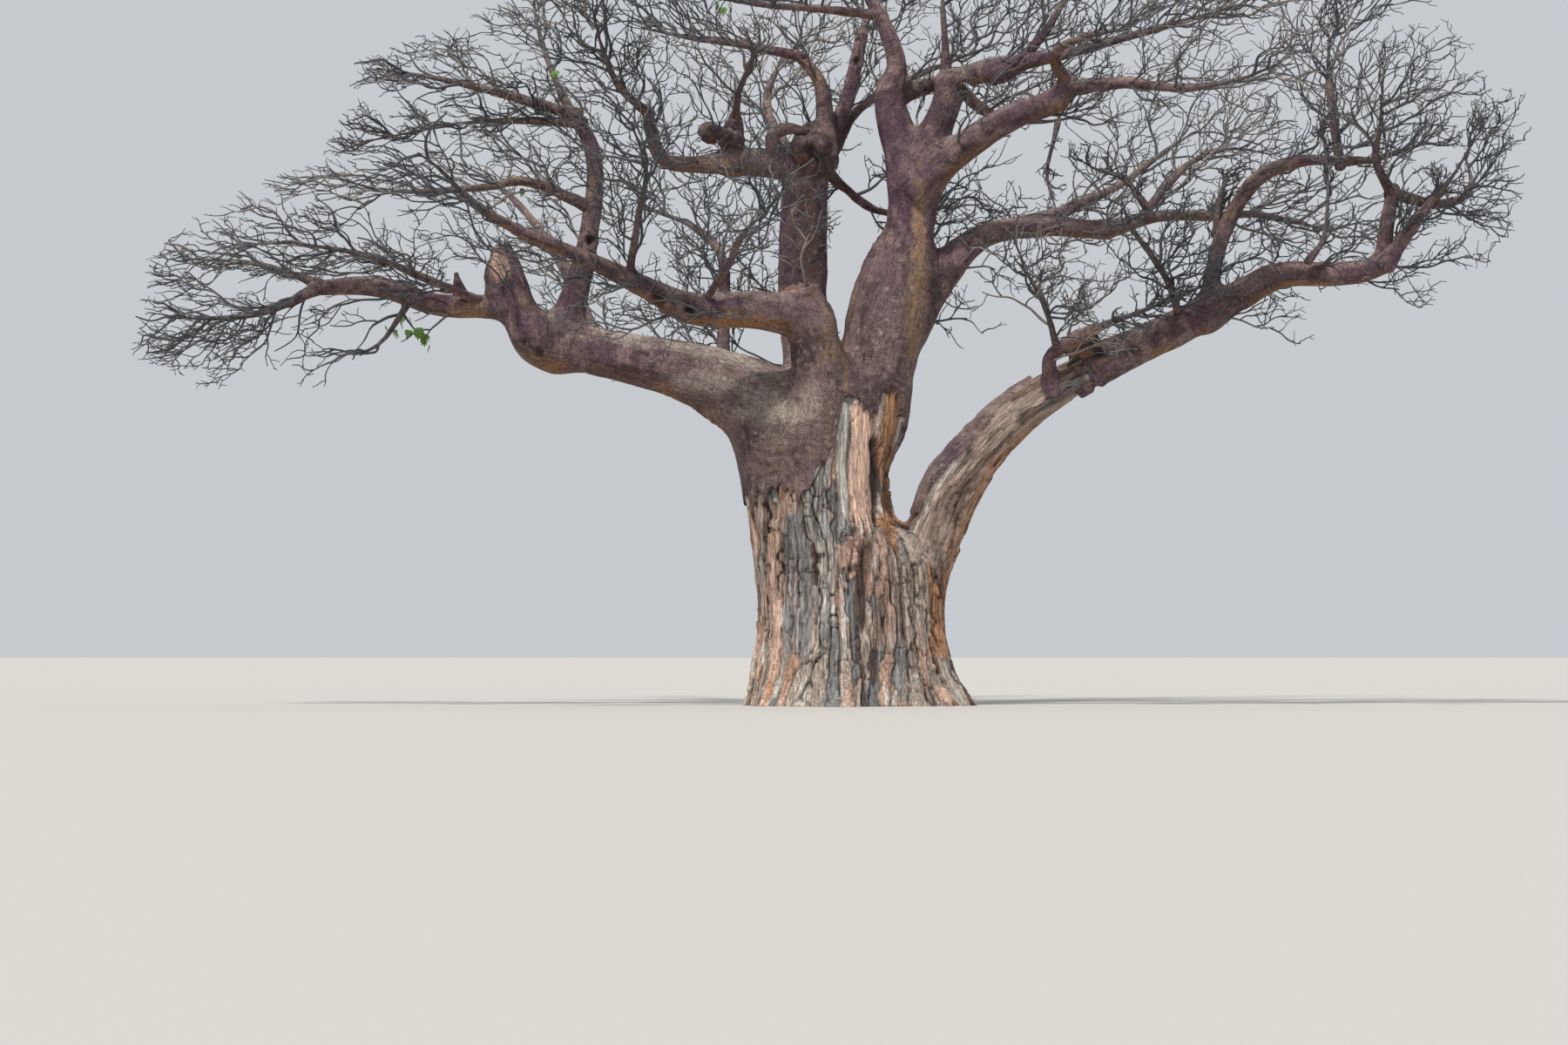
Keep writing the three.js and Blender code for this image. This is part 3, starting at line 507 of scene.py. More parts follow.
def limb_field(line, places):
    """How far places lie outside a round limb, the way out of it, and where along it they are.

    The nearest sample of the middle line is found first, then the nearest point of the two spans beside it.
    The field is the distance to that point less the radius there. Beyond a blunt end it is the larger of the
    distance from the end's plane and that from the round side.
    """
    middles, radius, along = line["middles"], line["radius"], line["along"]
    squares = (middles**2).sum(1) - 2 * places @ middles.T
    nearest = squares.argmin(1)
    best = np.full(len(places), np.inf)
    way = np.zeros_like(places)
    at = np.zeros(len(places))
    for offset in (-1, 0):
        first = np.clip(nearest + offset, 0, len(middles) - 2)
        span = middles[first + 1] - middles[first]
        share = ((places - middles[first]) * span).sum(1) / (span * span).sum(1)
        share = np.clip(share, 0, 1)
        point = middles[first] + span * share[:, None]
        thick = radius[first] + (radius[first + 1] - radius[first]) * share
        apart = places - point
        field = np.linalg.norm(apart, axis=1) - thick
        nearer = field < best
        best = np.where(nearer, field, best)
        way = np.where(nearer[:, None], apart, way)
        at = np.where(nearer, along[first] + (along[first + 1] - along[first]) * share, at)
    way = unit(way)
    if line["blunt"]:
        apart = places - middles[-1]
        beyond = apart @ line["tangents"][-1]
        across = apart - beyond[:, None] * line["tangents"][-1]
        from_side = np.linalg.norm(across, axis=1) - radius[-1]
        past = beyond > 0
        flat = past & (beyond > from_side)
        best = np.where(past, np.maximum(beyond, from_side), best)
        way = np.where(past[:, None], unit(across), way)
        way = np.where(flat[:, None], line["tangents"][-1], way)
    return best, way, at


def level_table():
    """The trunk's levels at fine heights, smoothed, in metres: height, middle, half width and half depth."""
    rows = np.asarray(TRUNK_LEVELS, float) * MM
    heights = np.linspace(0, rows[-1, 0], LEVELS)
    window = np.hanning(SMOOTHED_OVER)
    window /= window.sum()
    smooth = []
    for column in (1, 2, 3):
        padded = np.pad(np.interp(heights, rows[:, 0], rows[:, column]), SMOOTHED_OVER // 2, mode="edge")
        smooth.append(np.convolve(padded, window, mode="valid"))
    left, right, depth = smooth
    return heights, (left + right) / 2, (right - left) / 2, depth


def flute_share(angle, height):
    """The trunk's radius at an angle, in parts of the oval's: a sum of cosines, deepest at the ground."""
    flare = 1 + FLARE_OF_FLUTES * np.exp(-height / FLARE_HEIGHT)
    share = 1
    for count, deep, start in FLUTES:
        share = share + deep * flare * np.cos(count * angle + start)
    return share


def trunk_distance(places, levels):
    """How far places lie outside the trunk: their distance from its middle in parts of the fluted oval's
    radius, less one, times that radius. The top is closed by a soft cap.
    """
    heights = levels[0]
    height = np.clip(places[:, 2], 0, heights[-1])
    middle, width, depth = (np.interp(height, heights, column) for column in levels[1:])
    across = (places[:, 0] - middle) / width
    back = places[:, 1] / depth
    angle = np.arctan2(back, across)
    flute = flute_share(angle, height)
    oval = np.hypot(width * np.cos(angle), depth * np.sin(angle))
    radial = (np.hypot(across, back) / flute - 1) * oval * flute
    return np.maximum(radial, places[:, 2] - heights[-1])


def trunk_field(places, levels):
    """The trunk's distance with its slope, from differences over a centimetre."""
    here = trunk_distance(places, levels)
    slope = [trunk_distance(places + SLOPE_STEP * axis, levels) - here for axis in np.eye(3)]
    return here, np.stack(slope, axis=1) / SLOPE_STEP


def blended(field, slope, other, other_slope, blend):
    """A smooth union of two fields: the smaller one, less a quarter of the blend times the square of how
    near the two are. The slope is shared out in the same way.
    """
    nearness = np.clip(1 - np.abs(field - other) / blend, 0, 1)
    smaller = np.minimum(field, other) - blend / 4 * nearness**2
    share = np.where(field < other, nearness / 2, 1 - nearness / 2)[:, None]
    return smaller, slope * (1 - share) + other_slope * share


def common_field(places, members, tree):
    """The field of limbs that have grown together, taken in order from the trunk outwards."""
    field = np.full(len(places), np.inf)
    slope = np.zeros_like(places)
    for name in members:
        if name == "trunk":
            field, slope = trunk_field(places, tree["levels"])
        else:
            other, other_slope, _ = limb_field(tree["lines"][name], places)
            field, slope = blended(field, slope, other, other_slope, tree["blend"][name])
    return field, slope


def settled(places, name, tree):
    """Draws a limb's skin to the common surface of what it has grown together with.

    Each step goes down the slope by the field over the slope's square. What is buried deep in a neighbour
    stays where it is. Gives the places, which of them are free, and the way out at those.
    """
    neighbours = [other for other in tree["joined"][name] if other != name]
    inside, _ = common_field(places, neighbours, tree)
    free = inside > BURIED
    moved = places[free]
    for _ in range(SETTLING_STEPS):
        field, slope = common_field(moved, tree["joined"][name], tree)
        steep = np.maximum((slope * slope).sum(1), LEAST_STEEP)
        moved = moved - (np.clip(field, -LONGEST_MOVE, LONGEST_MOVE) / steep)[:, None] * slope
    places = places.copy()
    places[free] = moved
    return places, free, unit(slope)


def plan_tree():
    """The limbs' middle lines, which of them have grown together, and how wide each one's collar is."""
    lines = {name: middle_line(rows, FIELD_STEP) for name, rows in BOUGHS.items()}
    for name in BROKEN_TOPS:
        lines[name]["blunt"] = True
    blend = {}
    for name, line in lines.items():
        blend[name] = float(np.clip(BLEND_SHARE * line["radius"][0], SMALLEST_BLEND, LARGEST_BLEND))
    tree = {"lines": lines, "blend": blend, "levels": level_table(), "joined": {}}
    order = ["trunk"] + list(lines)
    for name in order:
        tree["joined"][name] = [other for other in order if other == name or touches(name, other, tree)]
    return tree


def touches(name, other, tree):
    """Whether the surfaces of two limbs come near each other."""
    if "trunk" in (name, other):
        limb = other if name == "trunk" else name
        return bool((trunk_distance(tree["lines"][limb]["middles"], tree["levels"]) < NEAR_TRUNK).any())
    line = tree["lines"][other]
    field, _, _ = limb_field(tree["lines"][name], line["middles"])
    return bool((field - line["radius"] < NEAR_LIMB).any())


# The edge of the bark that is left on the trunk, as seen from the front: side, height.
TEAR_FRONT = (
    (-2100, 3800), (-1920, 3920), (-1500, 4000), (-1250, 4170), (-1050, 3950), (-830, 3920), (-670, 4170),
    (-580, 4420), (-330, 4670), (-250, 4920), (-170, 5170), (-130, 5500), (80, 5830), (250, 5780),
    (420, 5600), (500, 5500), (640, 5560), (750, 6030), (1000, 6050), (1150, 5300), (1300, 3500),
)
# The same edge round the back, which the photo doesn't show: angle in degrees, height.
TEAR_BACK = (
    (0, 3600), (25, 4300), (45, 3900), (70, 4600), (95, 4100), (120, 4700), (145, 4250), (165, 4500),
    (180, 3900),
)
TEAR_RAGGED = 0.16
BARK_THICKNESS = 0.075
# How far along the low right bough its side is stripped, and how much less far on its upper edge.
STRIPPED_TO = 6.3
LESS_ABOVE = 9
# Plates of split wood: width and height in two sizes, then those of the low right bough's colours, then half
# widths of their edges at the sides and at the ends.
PLATE_SIZES = ((0.25, 1.1), (0.1, 0.6))
LIMB_PLATES = (0.19, 1.3)
PLATE_EDGES = (0.018, 0.03)
STRIP_HEIGHT = 0.04
# The trunk's radius as the strength of its relief takes it, and as the way round it is measured with.
TRUNK_GIRTH = 1.5
ROUND_THE_TRUNK = 1.75

# Grooves and hollows in the bare wood, as seen from the front: side, from height, to height, width, depth.
GROOVES = (
    (-1250, 1500, 3900, 60, 70), (-1020, 1200, 3700, 50, 60), (-760, 900, 3550, 110, 60),
    (-600, 700, 3700, 50, 100), (-330, 900, 3100, 50, 80), (-90, 1200, 5300, 60, 70),
    (140, 2000, 5700, 45, 110), (420, 1200, 3200, 90, 140), (640, 3300, 5200, 75, 190),
    (700, 900, 2900, 60, 90), (900, 1700, 4700, 50, 70), (1130, 1000, 3300, 70, 90),
    (-1700, 1000, 3500, 60, 60), (1480, 1300, 3000, 55, 60),
)
# Creases in the smooth bark, as seen from the front: from side and height to side and height, width, depth.
CREASES = (
    (-1950, 4700, -1450, 4560, 70, 60), (-1500, 4760, -1150, 4800, 60, 50),
    (-1650, 4320, -1300, 4450, 60, 50), (-1120, 4350, -950, 3900, 50, 45),
    (-2050, 5150, -1800, 5000, 60, 40), (-820, 4250, -560, 4120, 50, 45),
)
# Burls, knots and cut stubs, as seen from the front: side, height, how far in front, size, how proud.
BURLS = (
    (2900, 12040, -600, 260, 120), (3150, 12030, -650, 230, 110),
    (-3550, 7470, -2700, 210, 90), (-2780, 7720, -2400, 190, 90), (5000, 9130, 1100, 200, 80),
    (4670, 6250, -600, 260, 100), (4580, 6950, -800, 240, 130), (-5900, 6850, -700, 220, 60),
    (-6150, 7150, -650, 260, 80), (4100, 11900, -1700, 320, 90),
    (1350, 10000, -600, 380, 90), (-700, 10650, 150, 420, 90),
)
# Boughs that end in a ragged break.
BROKEN_TOPS = ("bough_front_base", "bough_left_stub", "bough_right_stub")
# Knot holes, as seen from the front: side, height, radius, depth.
HOLES = (
    (-4880, 8920, 100, 120), (230, 12370, 80, 90), (-3550, 7790, 140, 120), (-2960, 7590, 120, 110),
    (2300, 11830, 130, 200), (-680, 10690, 130, 80), (4850, 6830, 150, 90), (-6150, 6980, 70, 60),
    (-5850, 6780, 80, 60),
)

# Colours of the finish, as linear base colours.
SMOOTH_BARK = np.array((0.212, 0.144, 0.138))
# Dark bark, also used as painted shade on the left bough's lower side.
DARK_BARK_AND_SHADE = np.array((0.075, 0.050, 0.056))
MAROON_BARK = np.array((0.096, 0.050, 0.084))
# Tan bark, also used as painted light on the right edges of the right-hand boughs.
TAN_BARK_AND_LIGHT = np.array((0.340, 0.215, 0.140))
# Painted bounce light: the orange tan of faces turned down, lit from below.
BOUNCE_LIGHT_TAN = np.array((0.270, 0.135, 0.060))
# Lichen colour, also used as painted top light on faces turned up and on the left bough's upper side.
LICHEN_AND_TOP_LIGHT = np.array((0.370, 0.325, 0.275))
PALE_LICHEN = np.array((0.480, 0.450, 0.390))
# Painted shade: in cracks, creases and knot holes, and under the torn bark's edge.
PAINTED_SHADE = np.array((0.026, 0.018, 0.016))
DARKEST_BROWN = np.array((0.055, 0.030, 0.022))
SILVER_WOOD = np.array((0.700, 0.665, 0.610))
PINK_WOOD = np.array((0.600, 0.410, 0.325))
BLUE_WOOD = np.array((0.290, 0.300, 0.305))
GREY_WOOD = np.array((0.500, 0.415, 0.355))
ORANGE_WOOD = np.array((0.520, 0.250, 0.115))
BROWN_WOOD = np.array((0.170, 0.098, 0.072))
MAUVE_WOOD = np.array((0.300, 0.215, 0.185))

# Patches of one colour, as seen from the front: side, height, half width, half height, colour, strength.
# Besides lichens and the bark's and wood's own colours, some are painted light and painted shade.
PATCHES = (
    # Pale patches: lichens on the trunk, and painted top light on the left bough's upper side.
    (-1120, 5350, 380, 330, LICHEN_AND_TOP_LIGHT, 0.45), (-1550, 5700, 750, 330, LICHEN_AND_TOP_LIGHT, 0.6),
    (-700, 5900, 200, 450, LICHEN_AND_TOP_LIGHT, 0.4), (-2600, 6150, 1100, 300, LICHEN_AND_TOP_LIGHT, 0.5),
    # Tan strips on the right edges of the right-hand bough: partly tan bark, partly painted light.
    (1450, 8900, 170, 1500, TAN_BARK_AND_LIGHT, 0.8), (1330, 7300, 150, 900, TAN_BARK_AND_LIGHT, 0.75),
    (20, 6450, 60, 650, TAN_BARK_AND_LIGHT, 0.6),
    (-680, 9000, 170, 1300, BROWN_WOOD, 0.75), (-6500, 8350, 500, 700, MAROON_BARK, 0.8),
    (-6560, 8850, 260, 260, DARK_BARK_AND_SHADE, 0.7), (-6830, 8300, 130, 420, DARK_BARK_AND_SHADE, 0.6),
    (-6640, 8400, 170, 330, PINK_WOOD, 0.9), (350, 9100, 330, 900, MAROON_BARK, 0.5),
    # Painted shade on the left bough's lower side.
    (-2700, 5850, 900, 260, DARK_BARK_AND_SHADE, 0.6), (-4200, 6350, 1100, 240, DARK_BARK_AND_SHADE, 0.6),
    # Along the front arm: a tan strip on its upper edge, and painted bounce light along its underside.
    (-1250, 7950, 500, 90, TAN_BARK_AND_LIGHT, 0.6), (-2300, 7320, 1300, 110, BOUNCE_LIGHT_TAN, 0.8),
    (850, 11200, 330, 850, MAROON_BARK, 0.75), (1050, 9600, 230, 500, MAROON_BARK, 0.6),
    (-1130, 9200, 150, 1500, MAROON_BARK, 0.6), (2050, 4900, 250, 400, MAROON_BARK, 0.5),
    (-5400, 7900, 230, 700, MAROON_BARK, 0.6), (-5900, 7300, 300, 250, MAROON_BARK, 0.5),
    (1750, 11400, 350, 800, DARK_BARK_AND_SHADE, 0.55),
)
# Panels of stripped wood, as seen from the front, in metres: left, right, low, high, colour.
PANELS = (
    (-0.10, 0.13, 3.4, 5.75, SILVER_WOOD), (0.15, 0.58, 3.5, 5.8, PINK_WOOD * 1.45),
    # The first panel on this line is a very dark strip along the deepest groove.
    (0.58, 0.72, 3.8, 5.2, DARKEST_BROWN), (0.74, 1.02, 3.2, 6.1, ORANGE_WOOD * 0.8),
    (-0.62, -0.15, 1.6, 3.2, SILVER_WOOD), (0.25, 0.52, 1.6, 3.3, BROWN_WOOD),
    (-1.60, -1.22, 1.0, 3.9, PINK_WOOD * 1.2), (-1.20, -0.72, 1.0, 3.7, BLUE_WOOD),
    (-1.92, -1.72, 1.0, 3.9, PINK_WOOD * 1.3), (1.66, 2.15, 1.0, 2.95, ORANGE_WOOD * 1.3),
    (0.60, 1.00, 1.2, 3.3, PINK_WOOD), (1.00, 1.60, 1.2, 3.4, GREY_WOOD),
    (-0.7, -0.25, 3.2, 4.6, BLUE_WOOD * 1.4),
)


def tear_height(places):
    """The height of the bark's ragged edge round the trunk.

    The front follows its row of points by the side on which a place is seen, the back follows another row by
    the angle, and two stretched noises make both ragged.
    """
    side, _ = as_seen(places)
    front = np.asarray(TEAR_FRONT, float) * MM
    back = np.asarray(TEAR_BACK, float)
    height = np.interp(side, front[:, 0], front[:, 1])
    angle = np.degrees(np.arctan2(places[:, 1], places[:, 0]))
    behind = np.interp(angle, back[:, 0], back[:, 1] * MM)
    height = np.where(places[:, 1] > 0, behind, height)
    flat = places * np.array((1.0, 1.0, 0.15))
    ragged = soft_noise(flat, (0.16, 0.16, 0.3), 5) + 0.6 * soft_noise(flat, (0.07, 0.07, 0.2), 6)
    return height + TEAR_RAGGED * ragged


def bare_share(places, name, along):
    """How bare of bark the wood is, from 0 to 1: below the torn edge on the trunk, and on the low right
    bough up to where its stripped side ends.
    """
    torn = ease(tear_height(places) - places[:, 2], -0.02, 0.05)
    near_trunk = ease(1.55 - places[:, 0], -0.3, 0.3)
    bare = torn * np.where(places[:, 2] < 3.2, 1.0, near_trunk)
    if name == "bough_right_low":
        side, height = as_seen(places)
        upper = ease(height - 1.2 * side + 0.12 * soft_noise(places, 0.35, 14), 2.05, 2.25)
        end = STRIPPED_TO - LESS_ABOVE * upper + 0.7 * soft_noise(places, 0.5, 12)
        end = end + 0.4 * soft_noise(places, 0.2, 13)
        bare = np.maximum(bare, ease(end - along, -0.04, 0.06))
    return bare


def segment_nearness(side, height, row):
    """How near a place as seen is to a crease: 1 on its line, falling off as a bell over its width."""
    x0, z0, x1, z1, width, _ = np.asarray(row, float) * MM
    span = np.array((x1 - x0, z1 - z0))
    share = np.clip(((side - x0) * span[0] + (height - z0) * span[1]) / (span @ span), 0, 1)
    apart = np.hypot(side - x0 - share * span[0], height - z0 - share * span[1])
    return np.exp(-((apart / width) ** 2))


def wood_grain(places, name, tree):
    """Places in the wood's own directions: across the limb twice, then along it."""
    if name == "trunk":
        return places.copy(), places[:, 2].copy()
    line = tree["lines"][name]
    _, _, along = limb_field(line, places)
    tangent = unit(between(along, line["along"], line["tangents"]))
    side = unit(np.cross(SLIGHTLY_SKEWED_UP, tangent))
    over = np.cross(tangent, side)
    apart = places - between(along, line["along"], line["middles"])
    return np.stack([(apart * side).sum(1), (apart * over).sum(1), along], axis=1), along


def plates(around, along, wide, tall, seed):
    """Plates of split wood: columns of one width round the limb, each broken into blocks of one height.

    Gives each plate's own number from 0 to 1, and how near a place is to a plate's edge.
    """
    nothing = np.zeros(len(around))
    flat = np.stack([around, along, nothing], axis=1)
    column_at = around / wide + 0.8 * soft_noise(flat, (0.5, 1.3, 1), seed)
    column_at = column_at + 0.25 * soft_noise(flat, 0.2, seed + 1)
    column = np.floor(column_at)
    shift = lattice_chance(np.stack([column, nothing, nothing], axis=1).astype(np.int64), seed + 2)
    block_at = along / (tall * (0.6 + shift)) + 9 * shift + 0.35 * soft_noise(flat, 0.15, seed + 3)
    block = np.floor(block_at)
    own = lattice_chance(np.stack([column, block, nothing], axis=1).astype(np.int64), seed + 4)
    from_side = np.minimum(column_at - column, column + 1 - column_at) * wide
    from_end = np.minimum(block_at - block, block + 1 - block_at) * tall
    at_side, at_end = PLATE_EDGES
    return own, np.exp(-((from_side / at_side) ** 2)) + 0.7 * np.exp(-((from_end / at_end) ** 2))


def split_wood(around, along, side, height, front):
    """The plates of stripped wood at two sizes: the number and the edges of each. The smooth panel calms
    the edges, and what it leaves of them comes last.
    """
    calm = 1 - 0.85 * smooth_panel(side, height, front)
    own, edge = plates(around, along, *PLATE_SIZES[0], 81)
    small, small_edge = plates(around, along, *PLATE_SIZES[1], 91)
    return own, edge * calm, small, small_edge * calm, calm


def bare_relief(grain, split, side, height, front):
    """The relief of stripped wood: plates at two sizes with cracks between, ridged strips, named grooves."""
    own, edge, small, small_edge, calm = split
    relief = ridges(grain, (0.3, 0.3, 2.2), 21) * STRIP_HEIGHT * calm + calm * 0.06 * (own - 0.5)
    relief = relief + 0.03 * (small - 0.5) - 0.035 * edge - 0.014 * small_edge
    for x, low, high, width, depth in np.asarray(GROOVES, float) * MM:
        wander = 0.05 * np.sin(2.1 * height + 9 * x) + 0.02 * np.sin(6.3 * height + 5 * x)
        ends = ease(height, low, low + 0.3) * ease(high - height, 0, 0.3)
        relief = relief - front * ends * depth * np.exp(-(((side - x - wander) / width) ** 2))
    return relief


def bark_relief(grain, places, side, height, front, girth):
    """The relief of smooth bark: broad lumps, folds across the limb, fine wrinkles and the named creases."""
    lumps = 0.045 * layered_noise(places, 0.9, 31) + 0.02 * layered_noise(places, 0.32, 32)
    bent = grain + 0.16 * soft_noise(places, 0.45, 35)[:, None] + 0.05 * soft_noise(places, 0.14, 36)[:, None]
    folds = 0.012 * ridges(bent, (0.6, 0.6, 0.13), 33) * ease(soft_noise(places, 0.8, 34), -0.1, 0.5)
    relief = (lumps + folds) * np.clip(girth / 0.45, 0.3, 1.0)
    for row in CREASES:
        relief = relief - front * row[5] * MM * segment_nearness(side, height, row)
    return relief


def knobs(places):
    """Bumps of burls and dips of knot holes: a bell for each, round its place. Also where the holes lie, for
    painted shade in them.
    """
    relief = np.zeros(len(places))
    dark = np.zeros(len(places))
    for x, z, back, size, proud in BURLS:
        apart = np.linalg.norm(places - place_of(x, z, back), axis=1)
        bell = np.exp(-((apart / (size * MM)) ** 2))
        relief += proud * MM * bell * (1 + 0.5 * soft_noise(places, size * MM * 0.45, 41))
    side, height = as_seen(places)
    for x, z, radius, depth in np.asarray(HOLES, float) * MM:
        apart = np.hypot(side - x, height - z)
        bell = np.exp(-((apart / radius) ** 4))
        rim = np.exp(-(((apart - 1.35 * radius) / (0.4 * radius)) ** 2))
        relief += 0.3 * depth * rim - depth * bell
        # Where painted shade goes in the hole.
        dark = np.maximum(dark, bell)
    return relief, dark


def mixed(colour, other, share):
    """One colour turned towards another by a share that varies from place to place."""
    return colour + (other - colour) * np.asarray(share)[:, None]


def painted(colour, *coats):
    """Colours turned towards one coat after another, each a colour and its share."""
    for other, share in coats:
        colour = mixed(colour, other, share)
    return colour


def smooth_panel(side, height, front):
    """Where the bare wood is one smooth tall panel: high on the front under the tip of the torn bark."""
    inside = ease(side, -0.12, -0.08) * ease(0.58 - side, 0, 0.05)
    return front * inside * ease(height, 3.5, 3.8) * ease(5.85 - height, 0, 0.1)


def bare_colour(grain, split, side, height, seen, crack_shade):
    """Stripped wood: each plate has a colour of its own, over broad strips, with the named panels, and
    painted shade in the cracks between plates and in the deep carving.
    """
    own, edge, small, small_edge, calm = split
    broad = soft_noise(grain, (0.4, 0.4, 3.0), 51)
    narrow = soft_noise(grain, (0.06, 0.06, 1.2), 52)
    colour = painted(
        np.tile(GREY_WOOD, (len(side), 1)),
        (PINK_WOOD, ease(own + 0.35 * broad, 0.42, 0.55)),
        (SILVER_WOOD, 0.85 * ease(small + 0.25 * broad, 0.7, 0.8)),
        (BLUE_WOOD, 0.9 * ease(0.33 - own + 0.3 * broad, 0.0, 0.1)),
        (BROWN_WOOD, 0.8 * ease(0.16 - small, 0.0, 0.06)),
        (ORANGE_WOOD, 0.6 * ease(own - small - 0.2 * broad, 0.62, 0.75)),
    )
    for left, right, low, high, paint in PANELS:
        wave = 0.04 * np.sin(3.1 * height + 7 * left) + 0.03 * narrow
        inside = ease(side + wave, left - 0.02, left + 0.02) * ease(right - side - wave, -0.02, 0.02)
        inside = inside * ease(height, low - 0.2, low + 0.1) * ease(high - height, -0.1, 0.15)
        colour = mixed(colour, paint, seen * inside * (0.62 + 0.3 * small) * (1.3 - 0.3 * calm))
    tone = 1 + calm * (0.25 * own - 0.12 + 0.2 * (small - 0.5)) + 0.12 * narrow
    # Painted shade in the cracks between plates and in the deep carving.
    broken = ease(layered_noise(grain, (0.4, 0.4, 0.9), 55), -0.3, 0.3)
    plate_crack_shade = np.clip((0.5 + 0.5 * broken) * edge + 0.5 * broken * small_edge, 0, 0.95)
    return painted(colour * tone[:, None], (PAINTED_SHADE, plate_crack_shade), (PAINTED_SHADE, 0.8 * crack_shade))


def limb_wood_colour(grain, around, along, side, height, crack_shade):
    """The stripped side of the low right bough: weathered mauve-brown drawn out along it, a pale streak near
    its upper edge, dark gouges, an orange lower edge, and painted shade along the plates' edges and in the
    deep carving.
    """
    streaks = layered_noise(grain, (0.13, 0.13, 1.1), 56)
    broad = soft_noise(grain, (0.5, 0.5, 1.5), 57)
    middle = np.interp(height, (3.0, 3.5, 4.5, 5.5, 6.2), (1.55, 1.85, 2.3, 3.3, 4.3))
    lower = ease(side - middle + 0.2 * streaks, 0.24, 0.5) * ease(5.6 - height, -0.3, 0.8)
    streak = np.interp(height, (3.2, 4.2, 5.2), (1.2, 1.75, 2.5))
    pale = np.exp(-(((side - streak + 0.03 * broad) / 0.055) ** 2)) * ease(5.0 - height, 0, 0.6)
    own, edge = plates(around, along, *LIMB_PLATES, 83)
    colour = painted(
        np.tile(MAUVE_WOOD, (len(side), 1)),
        (PINK_WOOD, 0.5 * ease(streaks + 0.4 * broad, 0.1, 0.6)),
        (BROWN_WOOD, 0.8 * ease(-streaks + 0.4 * broad, 0.2, 0.6)),
        (BLUE_WOOD, 0.6 * ease(soft_noise(grain, (0.2, 0.2, 0.9), 58), 0.35, 0.6)),
        (ORANGE_WOOD, 0.85 * lower),
        (SILVER_WOOD, 0.85 * pale),
        (GREY_WOOD, 0.35 * ease(own, 0.55, 0.75)),
    )
    gouge = ease(layered_noise(grain, (0.14, 0.14, 0.4), 59), 0.3, 0.5) * ease(height, 3.0, 3.6)
    # Painted shade along the plates' edges and in the deep carving.
    return painted(
        colour * (0.75 + 0.45 * own)[:, None],
        (PAINTED_SHADE, 0.85 * edge * ease(streaks + broad, -0.6, 0.1)),
        (DARKEST_BROWN, 0.75 * gouge * ease(5.3 - height, 0, 0.8)),
        (PAINTED_SHADE, 0.8 * crack_shade),
    )


def bark_colour(places, grain, normals, girth, name):
    """Smooth bark: grey-brown with dark purple and tan drawn out along the limb, maroon further out, painted
    orange-tan bounce light on faces turned down, and pale lichens with painted top light on faces turned up.
    """
    out = ease(np.linalg.norm(places - np.array((0, 0, 5.0)), axis=1), 1.5, 4.5)
    streaks = layered_noise(grain, (0.34, 0.34, 1.6), 66)
    patches = layered_noise(places, 0.75, 61)
    fine = layered_noise(places, 0.16, 67)
    # Painted bounce light: faces turned down turn orange tan, broken up by noise.
    below = ease(-normals[:, 2], 0.3, 0.85) * ease(layered_noise(places, 0.5, 62) + 0.3 * fine, -0.4, 0.3)
    # Lichens with painted top light: faces turned up turn pale grey, broken up by noise. The painted light is
    # strongest on the left bough and the trunk.
    top = ease(normals[:, 2], 0.2, 0.85)
    lichen_and_top_light = top * ease(layered_noise(places, 0.7, 63) + 0.6 * fine, -0.35, 0.25)
    strong = 0.95 if name in ("bough_left", "trunk") else 0.4
    flecks = ease(soft_noise(places, 0.06, 64) + 0.5 * layered_noise(places, 0.5, 65), 0.6, 0.9)
    colour = painted(
        np.tile(SMOOTH_BARK, (len(places), 1)),
        (MAROON_BARK, 0.75 * out * ease(patches + 0.5 * fine, -0.25, 0.3)),
        (DARK_BARK_AND_SHADE, 0.85 * ease(-patches + 0.6 * fine - 0.4 * streaks, -0.1, 0.5)),
        (TAN_BARK_AND_LIGHT, 0.6 * ease(streaks + 0.5 * fine, 0.35, 0.75)),
        (BOUNCE_LIGHT_TAN, 0.65 * below),
        (LICHEN_AND_TOP_LIGHT, strong * lichen_and_top_light),
        (PALE_LICHEN, 0.45 * flecks * ease(girth, 0.2, 0.6)),
    )
    side, height = as_seen(places)
    front = ease(-normals[:, 1], -0.1, 0.3)
    for x, z, wide, high, paint, strength in PATCHES:
        reach = np.hypot((side - x * MM) / (wide * MM), (height - z * MM) / (high * MM))
        inside = ease(1.15 - reach + 0.6 * fine + 0.35 * streaks, 0.0, 0.7)
        colour = mixed(colour, paint, strength * front * inside)
    return colour


